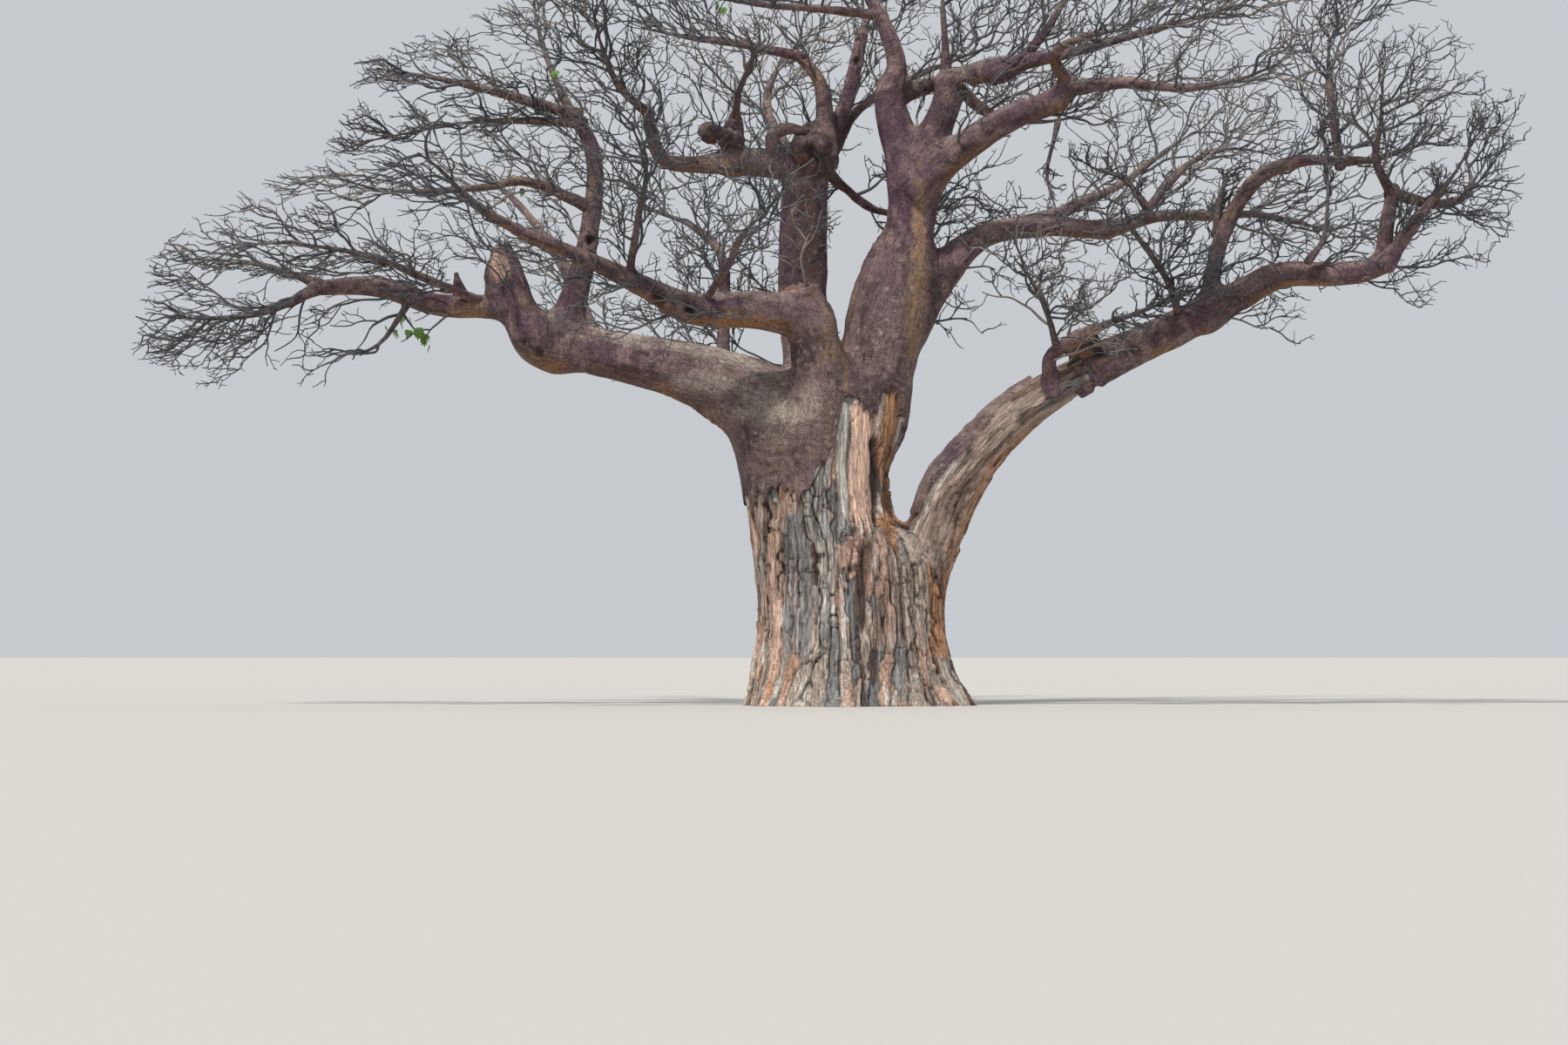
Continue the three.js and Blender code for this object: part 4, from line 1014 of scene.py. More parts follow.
def dressed(places, normals, name, tree):
    """The relief of a limb's skin along its normals, its colours, how bare it is and its grain."""
    grain, along = wood_grain(places, name, tree)
    side, height = as_seen(places)
    front = ease(-normals[:, 1], -0.05, 0.25)
    bare = bare_share(places, name, along)
    if name == "trunk":
        girth = np.full(len(places), TRUNK_GIRTH)
        around = np.arctan2(places[:, 0], -places[:, 1]) * ROUND_THE_TRUNK
    else:
        line = tree["lines"][name]
        girth = np.interp(along, line["along"], line["radius"])
        around = np.arctan2(grain[:, 0], grain[:, 1]) * girth
    split = split_wood(around, along, side, height, front)
    carved = bare_relief(grain, split, side, height, front)
    barked = bark_relief(grain, places, side, height, front, girth)
    bumps, dark = knobs(places)
    thin = np.where(places[:, 2] > 3.0, np.clip(girth / 0.9, 0.25, 1.0), 1.0)
    relief = (1 - bare) * barked + bare * (carved * thin - BARK_THICKNESS) + bumps
    # Painted shade where the bare wood is carved deep.
    crack_shade = ease(-carved, 0.08, 0.16)
    colour = bark_colour(places, grain, normals, girth, name)
    # Painted shade in the bark's deep creases and folds.
    colour = mixed(colour, PAINTED_SHADE, 0.7 * ease(-barked, 0.045, 0.1))
    if name == "bough_right_low":
        stripped = limb_wood_colour(grain, around, along, side, height, crack_shade)
    else:
        seen = ease(-normals[:, 1], -0.25, 0.05)
        stripped = bare_colour(grain, split, side, height, seen, crack_shade)
    # Painted shade: a dark line under the torn bark's overhanging edge, and in knot holes.
    edge = ease(bare, 0.02, 0.35) * ease(1 - bare, 0.02, 0.35)
    colour = painted(colour, (stripped, bare), (PAINTED_SHADE, np.maximum(0.92 * edge, 0.9 * dark)))
    return relief, colour, bare, grain


def grid_normals(places, rings, sides):
    """Outward normals of a tube's grid, from the differences across each point in the two directions."""
    grid = places[: rings * sides].reshape(rings, sides, 3)
    around = np.roll(grid, -1, axis=1) - np.roll(grid, 1, axis=1)
    return unit(np.cross(around, np.gradient(grid, axis=0))).reshape(-1, 3)


def limb_skin(line, sides, blunt):
    """A round limb with rounded ends. A ring's point is the middle plus the radius times the cosine of its
    angle to one side and the sine over it; at each end the rings close in as a half circle does. A small
    blunt share makes the tip nearly flat.
    """
    middles, radius, tangents = line["middles"], line["radius"], line["tangents"]
    turns = np.radians(CAP_TURNS)
    first = [middles[0] - tangents[0] * radius[0] * CAP_REACH * math.sin(turn) for turn in turns]
    last = [middles[-1] + tangents[-1] * radius[-1] * blunt * math.sin(turn) for turn in turns[::-1]]
    close = np.maximum(np.cos(turns), FINEST_RING)
    middles = np.vstack([first, middles, last])
    radius = np.concatenate([radius[0] * close, radius, radius[-1] * close[::-1]])
    side, over = carried_frames(np.pad(tangents, ((len(turns), len(turns)), (0, 0)), mode="edge"))
    angle = np.linspace(0, 2 * np.pi, sides, endpoint=False)
    ring = side[:, None] * np.cos(angle)[:, None] + over[:, None] * np.sin(angle)[:, None]
    places = middles[:, None] + radius[:, None, None] * ring
    return places.reshape(-1, 3), len(middles)


def with_poles(values, rings, sides):
    """Values of a tube's grid, followed by the means of its first and last rings."""
    grid = values.reshape(rings, sides, -1)
    full = np.vstack([values.reshape(rings * sides, -1), grid[0].mean(0), grid[-1].mean(0)])
    return full if values.ndim > 1 else full[:, 0]


def finished_skin(places, rings, sides, name, tree):
    """A limb's skin drawn to its neighbours, carved and painted, with a pole added at each end."""
    places, free, ways = settled(places, name, tree)
    normals = grid_normals(places, rings, sides)
    normals[free] = ways
    relief, colour, bare, grain = dressed(places, normals, name, tree)
    places = places + normals * relief[:, None]
    if name in BROKEN_TOPS:
        upwards = ease(normals[:, 2], 0.3, 0.7) * ease(grain[:, 2], 0, grain[:, 2].max()) ** 6
        spikes = 0.14 * layered_noise(places * np.array((1, 1, 0.2)), 0.12, 73)
        places = places + UP * upwards[:, None] * spikes[:, None]
    return [with_poles(values, rings, sides) for values in (places, colour, bare, grain)]


def painted_piece(name, skin, faces, material):
    """A piece from a skin and its quads and triangles. Its colours, how bare it is and its grain's
    directions are kept with its points, for the material.
    """
    places, colour, bare, grain = skin
    piece = make_piece(name, places, *faces, [material])
    colour = np.concatenate([colour, np.ones((len(colour), 1))], axis=1)
    kept = (("tint", "FLOAT_COLOR", "color", colour), ("bare", "FLOAT", "value", bare),
            ("grain", "FLOAT_VECTOR", "vector", grain))
    for label, kind, key, values in kept:
        attribute = piece.data.attributes.new(label, kind, "POINT")
        attribute.data.foreach_set(key, values.astype(np.float32).ravel())
    return piece


def bough_piece(name, tree, material):
    """One bough with its bark's relief."""
    line = middle_line(BOUGHS[name], WOOD_STEP)
    around = 2 * np.pi * np.percentile(line["radius"], 85)
    sides = int(np.clip(around / WOOD_STEP, FEWEST_SIDES, MOST_SIDES))
    places, rings = limb_skin(line, sides, BROKEN_TIP if name in BROKEN_TOPS else ROUND_TIP)
    skin = finished_skin(places, rings, sides, name, tree)
    return painted_piece(name + "_wood", skin, grid_faces(rings, sides), material)


def trunk_piece(tree, material):
    """The trunk: a fluted oval at each height, with more points on its front, closed flat at the ground."""
    heights = tree["levels"][0]
    rings = int(heights[-1] / TRUNK_STEP)
    level = np.linspace(0, heights[-1], rings)
    angle = np.linspace(0, 2 * np.pi, TRUNK_SIDES, endpoint=False)
    angle = angle - CLOSER_IN_FRONT * np.cos(angle)
    centre, width, depth = (np.interp(level, heights, column)[:, None] for column in tree["levels"][1:])
    flute = flute_share(angle[None], level[:, None])
    x = centre + width * flute * np.cos(angle)
    y = depth * flute * np.sin(angle)
    z = np.broadcast_to(level[:, None], x.shape)
    places = np.stack([x, y, z], axis=2).reshape(-1, 3)
    skin = finished_skin(places, rings, TRUNK_SIDES, "trunk", tree)
    skin[0][:TRUNK_SIDES, 2] = 0
    skin[0][:, 2] = np.maximum(skin[0][:, 2], 0)
    return painted_piece("trunk_wood", skin, grid_faces(rings, TRUNK_SIDES), material)


# The rule by which twigs branch, as in the part's source.
CROWN_HEART = np.array((0.0, 0.0, 7.6))
FIRST_TWIG = 0.12
LAST_TWIG = 0.96
SOURCE_TWIGS = 10
MORE_TWIGS = 10
TURN_OF_A_TWIG = 2.4
EXTRA_TURN = 2
LEAST_SPREAD = 0.6
MORE_SPREAD = 0.55
FLATNESS = 0.75
OUTWARD_PULL = 0.35
LEAST_LENGTH = 0.75
MORE_LENGTH = 0.45
SHORTER_AT_THE_TIP = 0.35
SIDEWAYS_BEND = 0.16
UPWARD_BEND = 0.16
UPWARD_SHARE = 0.35
WOBBLE = 0.06
SPACE_MARGIN = 0.075
LIMB_MARGIN = 0.06
CHECKED_AT = (0.3, 0.55, 0.8, 1.0)
PRIME = 0x01000193
FULL_TURN = 6.28
SHORT_STEP = 0.03
MORE_TWIGS_FROM = 0.06
MORE_TWIGS_RUN = 0.93
MORE_TWIGS_REACH = 0.85
UNEVEN_SHARE = 0.05
# The finer levels: shares of the parent at which they leave it, their reach in parts of the mass's, how much
# further they spread, and how much of the outward pull and the rise they take.
SECOND = ((0.4, 0.6, 0.2, 0.78, 0.93), 0.72, 0.0, 0.8)
THIRD = ((0.25, 0.47, 0.7, 0.92), 0.42, 0.15, 0.3)
SPURS = ((0.42, 0.8), 0.17, 0.2, 0.0)
# Towards the left end the finer twigs lie more level: how much flatter, and over which run to the left.
LEVELLED = (0.5, 3.5, 7.0)
# How many metres of twigs each square metre of the view holds at most, level by level.
FULLEST = (4.6, 12.5, 15.5, 5.5)
DENSITY_CELL = 0.5
VIEW_CORNER = (16, 1)
VIEW_CELLS = (70, 40)
SEEN_AT = 0.6
# Thickness at the root and at the tip, and rings along it, level by level.
TWIG_SIZES = ((0.064, 0.028, 14), (0.037, 0.020, 10), (0.026, 0.016, 7), (0.019, 0.014, 4))
TWIG_SIDES = 4
THINNEST = 0.85
THICKER = 0.3
# The chances below which a spray has the first and the second twig colour.
COLOUR_SHARES = (0.45, 0.8)
# Twigs along the boughs' slender parts: how thick the bough may be, how far apart, how far they reach.
SLENDER_BOUGH = 0.36
BETWEEN_BOUGH_TWIGS = 0.42
BOUGH_TWIG_REACH = 1.5
BOUGH_TWIG_RISE = 0.15
HANGING_FROM = "bough_left_low"
HANGING_RISE = -1.0
FIRST_BOUGH_TWIG = 0.6
UNEVEN_PLACE = 0.3
BOUGH_TWIGS_CHECKED_AT = (0.6, 1.0)

# The crown's edge on the left of the view, as height and side, and the ground clearance of its underside.
LEFT_EDGE = (
    (5900, -13700), (7170, -13670), (8530, -13420), (9420, -12580), (10200, -10900), (10670, -10000),
    (11830, -9650), (12420, -9400), (12830, -8300), (13000, -8000), (13500, -6700), (15500, -4200),
)
UNDERSIDE = (
    (-13700, 6100), (-7500, 6150), (-6000, 5900), (-2500, 6900), (2000, 7300), (2300, 6750), (7800, 6850),
    (9800, 7350), (12900, 7500),
)
# Places where the sky shows, as seen: side, height, half width, half height, and the share of twigs kept.
OPEN_PLACES = (
    (160, 8400, 400, 1250, 0.0), (-1700, 6750, 550, 480, 0.0), (3600, 10250, 1900, 850, 0.6),
    (2900, 7850, 950, 1250, 0.6), (9200, 9400, 1300, 850, 0.7), (-200, 6600, 500, 600, 0.0),
    (-8700, 6700, 1700, 800, 0.2), (-10800, 6500, 1000, 600, 0.5), (5900, 7650, 1000, 350, 0.45),
    (4000, 10300, 400, 900, 0.35),
)
CROWN_BOX = ((-13.75, -6.95, 0.0), (13.0, 9.1, 15.5))


def chance(number, question):
    """A number from 0 to 1 for each counter and question, scrambled from its bits as in the source."""
    bits = number.astype(np.uint32) ^ np.uint32((question * SCRAMBLERS[0]) & ALL_BITS)
    bits = bits * np.uint32(SCRAMBLERS[1])
    bits = (bits ^ (bits >> np.uint32(13))) * np.uint32(SCRAMBLERS[2])
    return (bits ^ (bits >> np.uint32(16))) / WHOLES


def child_number(number, index):
    """The counter of a parent's twig: the parent's times a prime, with the index's bits mixed in."""
    mixed_in = ((index.astype(np.uint64) + 1) * SCRAMBLERS[3]).astype(np.uint32)
    return (number.astype(np.uint32) * np.uint32(PRIME)) ^ mixed_in


def branch_off(parent_from, parent_along, number, index, share, reach, rise, wider=0.0, pull=1.0):
    """Twigs that leave their parents. The heading is the parent's direction turned by a spread towards its
    side and over directions, plus the way out of the crown's heart, plus the rise, made one unit long. The
    length is the reach times a chance and shorter near the tip, and the bend goes sideways and upwards.
    """
    side = np.cross(UP, parent_along)
    side[np.linalg.norm(side, axis=1) < NEARLY_UPRIGHT] = (1.0, 0.0, 0.0)
    side = unit(side)
    over = unit(np.cross(parent_along, side))
    turn = (index * TURN_OF_A_TWIG + EXTRA_TURN * chance(number, 1))[:, None]
    spread = (LEAST_SPREAD + wider + MORE_SPREAD * chance(number, 2))[:, None]
    heading = parent_along * np.cos(spread) + side * np.sin(spread) * np.cos(turn)
    heading = heading + over * np.sin(spread) * np.sin(turn) * FLATNESS
    heading = heading + unit(parent_from - CROWN_HEART) * OUTWARD_PULL * pull
    heading[:, 2] += rise * pull
    heading = unit(heading)
    length = reach * (LEAST_LENGTH + MORE_LENGTH * chance(number, 3)) * (1 - SHORTER_AT_THE_TIP * share)
    bend = np.cross(UP, heading) * (SIDEWAYS_BEND * (2 * chance(number, 4) - 1))[:, None]
    bend[:, 2] += UPWARD_BEND * (chance(number, 5) - UPWARD_SHARE)
    return {"number": number, "from": parent_from, "heading": heading, "length": length,
            "bend": bend * length[:, None]}


def twig_place(twigs, share):
    """Where twigs are at a share of their length: start, plus heading times length times the share, plus the
    bend times the share squared, plus sine waves across it that are 0 at the start.
    """
    s = np.asarray(share, float)[:, None]
    across = unit(np.cross(twigs["heading"], SKEWED_UP))
    over = np.cross(twigs["heading"], across)
    first = FULL_TURN * chance(twigs["number"], 6)[:, None]
    second = FULL_TURN * chance(twigs["number"], 7)[:, None]
    length = twigs["length"][:, None]
    place = twigs["from"] + twigs["heading"] * length * s + twigs["bend"] * s**2
    for way, size, often, start in ((across, 1, 6.5, first), (over, 1, 5.5, second), (over, 0.16, 17, first)):
        place = place + size * way * (WOBBLE * length) * (np.sin(often * s + start) - np.sin(start))
    return place


def twig_along(twigs, share):
    """The direction of twigs at a share of their length, from places a little apart."""
    return unit(twig_place(twigs, share + SHORT_STEP) - twig_place(twigs, share - SHORT_STEP))


def picked(twigs, kept):
    """The twigs for which kept holds."""
    return {key: value[kept] for key, value in twigs.items()}


def within_crown(twigs):
    """The twigs whose tips are in the crown, away from where the sky shows."""
    tips = twig_place(twigs, np.ones(len(twigs["number"])))
    return picked(twigs, ~is_open(tips, twigs["number"]))


def clear_of_boughs(twigs, tree, shares):
    """Whether twigs are clear of every bough at some shares of their length."""
    clear = np.ones(len(twigs["number"]), bool)
    for share in shares:
        places = twig_place(twigs, np.full(len(clear), share))
        for line in tree["lines"].values():
            field, _, _ = limb_field(line, places)
            clear &= field > LIMB_MARGIN
    return clear


def is_open(places, number):
    """Whether places lie outside the crown's outline, below its underside, or where the sky shows."""
    side, height = as_seen(places)
    left = np.asarray(LEFT_EDGE, float) * MM
    under = np.asarray(UNDERSIDE, float) * MM
    out = side < np.interp(height, left[:, 0], left[:, 1])
    out |= height < np.interp(side, under[:, 0], under[:, 1]) - 0.35 * chance(number, 8)
    for x, z, wide, high, kept in np.asarray(OPEN_PLACES, float) * (MM, MM, MM, MM, 1):
        reach = np.hypot((side - x) / wide, (height - z) / high)
        out |= (reach < 0.85 + 0.3 * chance(number, 9)) & (chance(number, 10) >= kept)
    low, high = np.asarray(CROWN_BOX)
    return out | (places < low).any(1) | (places > high).any(1)


def thinned(twigs, fullest, question):
    """Twigs with some left out by chance where they would look too dense. The density is their length over
    the area of the view's cells, each taken with its neighbours.
    """
    side, height = as_seen(twig_place(twigs, np.full(len(twigs["mass"]), SEEN_AT)))
    column = ((side + VIEW_CORNER[0]) / DENSITY_CELL).astype(int)
    row = ((height + VIEW_CORNER[1]) / DENSITY_CELL).astype(int)
    length = np.zeros(VIEW_CELLS)
    np.add.at(length, (column, row), twigs["length"])
    near = sum(np.roll(length, shift, axis=(0, 1)) for shift in ((0, 0), (1, 0), (-1, 0), (0, 1), (0, -1)))
    density = near / (5 * DENSITY_CELL**2)
    return picked(twigs, chance(twigs["number"], question) * density[column, row] < fullest)


def keeps_its_space(twigs, stems):
    """Whether twigs stay nearer to their own stem than to another mass's."""
    good = np.ones(len(twigs["number"]), bool)
    own = (np.arange(len(good)), twigs["mass"])
    for share in CHECKED_AT:
        places = twig_place(twigs, np.full(len(good), share))
        nearest = np.stack([distance_to_line(places, stem["middles"]) for stem in stems], axis=1)
        home = nearest[own]
        nearest[own] = np.inf
        good &= nearest.min(1) > home + SPACE_MARGIN
    return good


def distance_to_line(places, middles):
    """The distance from each place to the nearest of a line's middles."""
    squares = (middles**2).sum(1) - 2 * places @ middles.T
    return np.sqrt(np.maximum((places**2).sum(1) + squares.min(1), 0))


def side_shares():
    """Where side twigs leave a stem: the source's evenly spaced places, then more between them."""
    shares = FIRST_TWIG + (LAST_TWIG - FIRST_TWIG) * np.arange(SOURCE_TWIGS) / (SOURCE_TWIGS - 1)
    more = (np.arange(MORE_TWIGS) + 0.5) / MORE_TWIGS
    return np.concatenate([shares, MORE_TWIGS_FROM + MORE_TWIGS_RUN * more])


def first_twigs(masses, tree, stems):
    """The side twigs of every stem, with the number of their mass. A mass gives its reach and its rise."""
    shares = side_shares()
    index = np.tile(np.arange(len(shares)), len(masses))
    mass = np.repeat(np.arange(len(masses)), len(shares))
    share = np.tile(shares, len(masses))
    starts, ways = np.empty((2, len(mass), 3))
    for number, stem in enumerate(stems):
        own = mass == number
        at = share[own] * stem["along"][-1]
        starts[own] = between(at, stem["along"], stem["middles"])
        ways[own] = between(at, stem["along"], stem["tangents"])
    reach, rise = np.array(masses, float)[mass].T
    reach = np.where(index < SOURCE_TWIGS, reach * MM, MORE_TWIGS_REACH * (reach * MM))
    number = child_number(mass + 1, index)
    twigs = branch_off(starts, unit(ways), number, index, share, reach, rise)
    twigs.update(mass=mass, reach=reach, rise=rise)
    good = keeps_its_space(twigs, stems) & clear_of_boughs(twigs, tree, CHECKED_AT)
    return within_crown(picked(twigs, good))


def next_twigs(parents, level, fullest, question):
    """The twigs of the next level: each parent's, at the given shares of it."""
    shares, reach_share, wider, pull = level
    count = len(parents["number"])
    index = np.tile(np.arange(len(shares)), count)
    parents = picked(parents, np.repeat(np.arange(count), len(shares)))
    number = child_number(parents["number"], index)
    share = np.tile(np.asarray(shares, float), count)
    share = np.clip(share + UNEVEN_SHARE * (chance(number, 11) - 0.5), 0, 1)
    reach = parents["reach"] * reach_share
    starts = twig_place(parents, share)
    ways = twig_along(parents, share)
    twigs = branch_off(starts, ways, number, index, share, reach, parents["rise"], wider, pull)
    flatter, begins, ends = LEVELLED
    twigs["heading"][:, 2] *= 1 - flatter * ease(-starts[:, 0], begins, ends)
    twigs["heading"] = unit(twigs["heading"])
    twigs.update(mass=parents["mass"], reach=parents["reach"], rise=parents["rise"])
    return thinned(within_crown(twigs), fullest, question)


def bough_twigs(tree):
    """Twigs that stand on the slender parts of the boughs, evenly spaced along them."""
    gathered = []
    for number, line in enumerate(tree["lines"].values()):
        along = line["along"]
        at = np.arange(FIRST_BOUGH_TWIG, along[-1], BETWEEN_BOUGH_TWIGS)
        at = at + UNEVEN_PLACE * chance(np.arange(len(at)) + 31 * number, 14)
        girth = np.interp(at, along, line["radius"])
        at, girth = at[girth < SLENDER_BOUGH], girth[girth < SLENDER_BOUGH]
        starts, ways = between(at, along, line["middles"]), between(at, along, line["tangents"])
        gathered.append((starts, ways, np.full(len(at), number), girth, 0.5 * at / along[-1]))
    starts, ways, owner, girth, share = (np.concatenate(column) for column in zip(*gathered))
    index = np.arange(len(owner))
    reach = np.full(len(owner), BOUGH_TWIG_REACH)
    rise = np.where(owner == list(BOUGHS).index(HANGING_FROM), HANGING_RISE, BOUGH_TWIG_RISE)
    number = child_number(owner + 201, index)
    twigs = branch_off(starts, unit(ways), number, index, share, reach, rise)
    twigs["length"] = twigs["length"] + girth
    twigs.update(mass=owner, reach=reach, rise=rise)
    return within_crown(picked(twigs, clear_of_boughs(twigs, tree, BOUGH_TWIGS_CHECKED_AT)))


def all_twigs(first):
    """Four levels of twigs, from side twigs to spurs."""
    levels = [thinned(first, FULLEST[0], 15)]
    for number, level in enumerate((SECOND, THIRD, SPURS), 1):
        levels.append(next_twigs(levels[-1], level, FULLEST[number], 15 + number))
    return levels


def twig_tubes(twigs, root, tip, rings):
    """Square closed tubes along twigs: a point is the place at a ring's share plus the radius there times
    the cosine and sine of a quarter of a turn, in directions across the twig.
    """
    count = len(twigs["number"])
    shares = np.linspace(0, 1, rings)
    centres = np.stack([twig_place(twigs, np.full(count, share)) for share in shares], axis=1)
    along = unit(np.gradient(centres, axis=1))
    across = unit(np.cross(along, SKEWED_UP))
    over = np.cross(along, across)
    spread = THINNEST + THICKER * chance(twigs["number"], 12)[:, None]
    radius = (root + (tip - root) * shares)[None] * spread / 2
    angle = np.arange(TWIG_SIDES) * 2 * np.pi / TWIG_SIDES
    ring = across[:, :, None] * np.cos(angle)[:, None] + over[:, :, None] * np.sin(angle)[:, None]
    points = centres[:, :, None] + radius[:, :, None, None] * ring
    per = rings * TWIG_SIDES
    walls, _ = grid_faces(rings, TWIG_SIDES)
    ends = np.array(((3, 2, 1, 0), (per - 4, per - 3, per - 2, per - 1)))
    faces = np.vstack([walls, ends])
    quads = (np.arange(count)[:, None, None] * per + faces[None]).reshape(-1, 4)
    return points.reshape(-1, 3), quads, np.repeat(np.arange(count), len(faces))


def spray_material(twigs):
    """Which of the twig colours a spray has: by chance."""
    pick = chance(child_number(twigs["mass"] + 77, twigs["number"] % 5), 13)
    return np.searchsorted(COLOUR_SHARES, pick, side="right")


def spray_piece(name, levels, owners, materials):
    """The twigs of one or more owners as one piece."""
    vertices, quads, dealt = [], [], []
    count = 0
    for twigs, (root, tip, rings) in zip(levels, TWIG_SIZES):
        own = picked(twigs, np.isin(twigs["mass"], owners))
        if not len(own["number"]):
            continue
        points, faces, owner = twig_tubes(own, root, tip, rings)
        vertices.append(points)
        quads.append(faces + count)
        dealt.append(spray_material(own)[owner])
        count += len(points)
    none = np.empty((0, 3), int)
    return make_piece(name, np.vstack(vertices), np.vstack(quads), none, materials, np.concatenate(dealt))


# Small limbs that grow on from the boughs, too slender for solids of their own: rows as for the boughs,
# then how far their twigs reach and how much those rise.
SMALL_LIMBS = {
    "left_reach": ((
        (-5100, 11180, 200, 190), (-6170, 11220, 500, 130), (-7330, 11170, 800, 80),
        (-9300, 10800, 1200, 50),
    ), 900, 0.15),
    "right_low_prong": ((
        (10400, 8500, -750, 300), (10750, 9000, -900, 250), (11170, 9570, -1100, 180),
        (11700, 10200, -1300, 90), (12100, 10900, -1500, 50),
    ), 800, 0.3),
    "right_shelf_end": ((
        (9600, 10440, 90, 170), (10100, 10470, 150, 130), (11200, 10800, 400, 70),
    ), 800, 0.2),
    "right_shelf_prong": ((
        (7130, 9100, 0, 130), (7170, 9550, 20, 110), (7280, 9970, 60, 90), (7420, 10200, 90, 70),
    ), 500, 0.3),
    "stub_shoot": ((
        (1950, 12100, -350, 180), (1920, 12830, -330, 130), (1880, 13500, -300, 90), (1950, 14400, -250, 50),
    ), 800, 0.3),
    "burl_twig": ((
        (4750, 7200, -950, 140), (5500, 7480, -1100, 110), (6330, 7800, -1300, 60),
    ), 600, 0.1),
    "right_end_upright": ((
        (8920, 8560, -900, 110), (9170, 8920, -920, 90), (9270, 9830, -950, 70), (9130, 11500, -1000, 40),
    ), 600, 0.2),
    "right_mid_hook": ((
        (5750, 9600, 900, 110), (5330, 10120, 920, 90), (4830, 10280, 950, 70), (4500, 10470, 980, 50),
    ), 450, 0.2),
    "arm_hanger": ((
        (4080, 11150, -1650, 90), (4030, 10920, -1650, 80), (3880, 10170, -1680, 65),
        (4080, 9420, -1700, 40),
    ), 380, -0.2),
    "leafy_twig": ((
        (-8450, 7880, -430, 60), (-8480, 7560, -500, 45), (-8330, 7300, -560, 38), (-8150, 7080, -600, 30),
    ), 0, 0.0),
    "left_prong": ((
        (-6620, 7650, -400, 430), (-6700, 8050, -450, 400), (-6750, 8400, -490, 340),
        (-6730, 8650, -510, 260),
    ), 0, 0.3),
    "knee_stub": ((
        (-7340, 7780, -380, 260), (-7410, 8020, -380, 200), (-7460, 8280, -380, 150),
    ), 0, 0.3),
    "callus_arch": ((
        (-1080, 10450, 330, 330), (-1330, 10680, 250, 290), (-1380, 10920, 200, 250),
        (-1130, 11060, 200, 260), (-720, 11020, 250, 300),
    ), 0, 0.0),
}


# The stage: the photo's long lens, a pale floor, a pale sky and a soft sun.
LENS = 90
SENSOR_WIDTH = 36
FARTHEST_SEEN = 1000
FLOOR_HALF = 400
FLOOR_COLOUR = (0.5, 0.485, 0.46)
SKY_COLOUR = (0.86, 0.9, 0.95, 1)
SKY_STRENGTH = 0.66
SUN_STRENGTH = 3.4
SUN_SPREAD = 5
SUN_COLOUR = (1.0, 0.95, 0.88)
SUNWARD = (0.35, 0.62, -1.05)
# The finish of bark and of plain materials.
BUMP_HEIGHT = 0.025
BARK_ROUGHNESS = 0.88
BARK_SHINE = 0.25
PLAIN_SHINE = 0.2
TWIG_ROUGHNESS = 0.85


def new_group(name, inputs, outputs):
    """An empty shader node group with named inputs and outputs. Each socket is a name and its kind."""
    group = bpy.data.node_groups.new(name, "ShaderNodeTree")
    for label, kind in inputs:
        group.interface.new_socket(label, in_out="INPUT", socket_type="NodeSocket" + kind)
    for label, kind in outputs:
        group.interface.new_socket(label, in_out="OUTPUT", socket_type="NodeSocket" + kind)
    return group, group.nodes.new("NodeGroupInput"), group.nodes.new("NodeGroupOutput")


def add_noise(tree, places, scale, detail, stretch=(1, 1, 1), bent=0.0):
    """A noise texture on Object coordinates, stretched along the axes and bent by its own noise."""
    mapping = tree.nodes.new("ShaderNodeMapping")
    mapping.inputs["Scale"].default_value = stretch
    noise = tree.nodes.new("ShaderNodeTexNoise")
    noise.inputs["Scale"].default_value = scale
    noise.inputs["Detail"].default_value = detail
    noise.inputs["Roughness"].default_value = 0.6
    noise.inputs["Distortion"].default_value = bent
    tree.links.new(places, mapping.inputs["Vector"])
    tree.links.new(mapping.outputs["Vector"], noise.inputs["Vector"])
    return noise.outputs["Fac"]


def give(tree, socket, value):
    """Puts a plain number on a socket, or links another socket to it."""
    if isinstance(value, (int, float)):
        socket.default_value = value
    else:
        tree.links.new(value, socket)


def add_math(tree, operation, first, second=None):
    """One step of arithmetic. Each value is a socket or a plain number."""
    node = tree.nodes.new("ShaderNodeMath")
    node.operation = operation
    give(tree, node.inputs[0], first)
    if second is not None:
        give(tree, node.inputs[1], second)
    return node.outputs[0]


def add_mix(tree, share, first, second):
    """A plain mix of two values by a share."""
    mix = tree.nodes.new("ShaderNodeMix")
    mix.data_type = "FLOAT"
    for socket, value in (("Factor", share), (2, first), (3, second)):
        give(tree, mix.inputs[socket], value)
    return mix.outputs[0]


def add_range(tree, value, low, high, to_low, to_high):
    """A value moved from one range to another and held inside it."""
    node = tree.nodes.new("ShaderNodeMapRange")
    tree.links.new(value, node.inputs["Value"])
    limits = (("From Min", low), ("From Max", high), ("To Min", to_low), ("To Max", to_high))
    for label, limit in limits:
        node.inputs[label].default_value = limit
    return node.outputs["Result"]


def add_product(tree, values):
    """The product of all values."""
    total = values[0]
    for value in values[1:]:
        total = add_math(tree, "MULTIPLY", total, value)
    return total


def near_half(tree, value, width, strength):
    """How near a noise is to its middle value: thin winding lines, from 1 away from them to less on them."""
    apart = add_math(tree, "ABSOLUTE", add_math(tree, "SUBTRACT", value, 0.5))
    return add_range(tree, apart, 0.0, width, 1.0 - strength, 1.0)


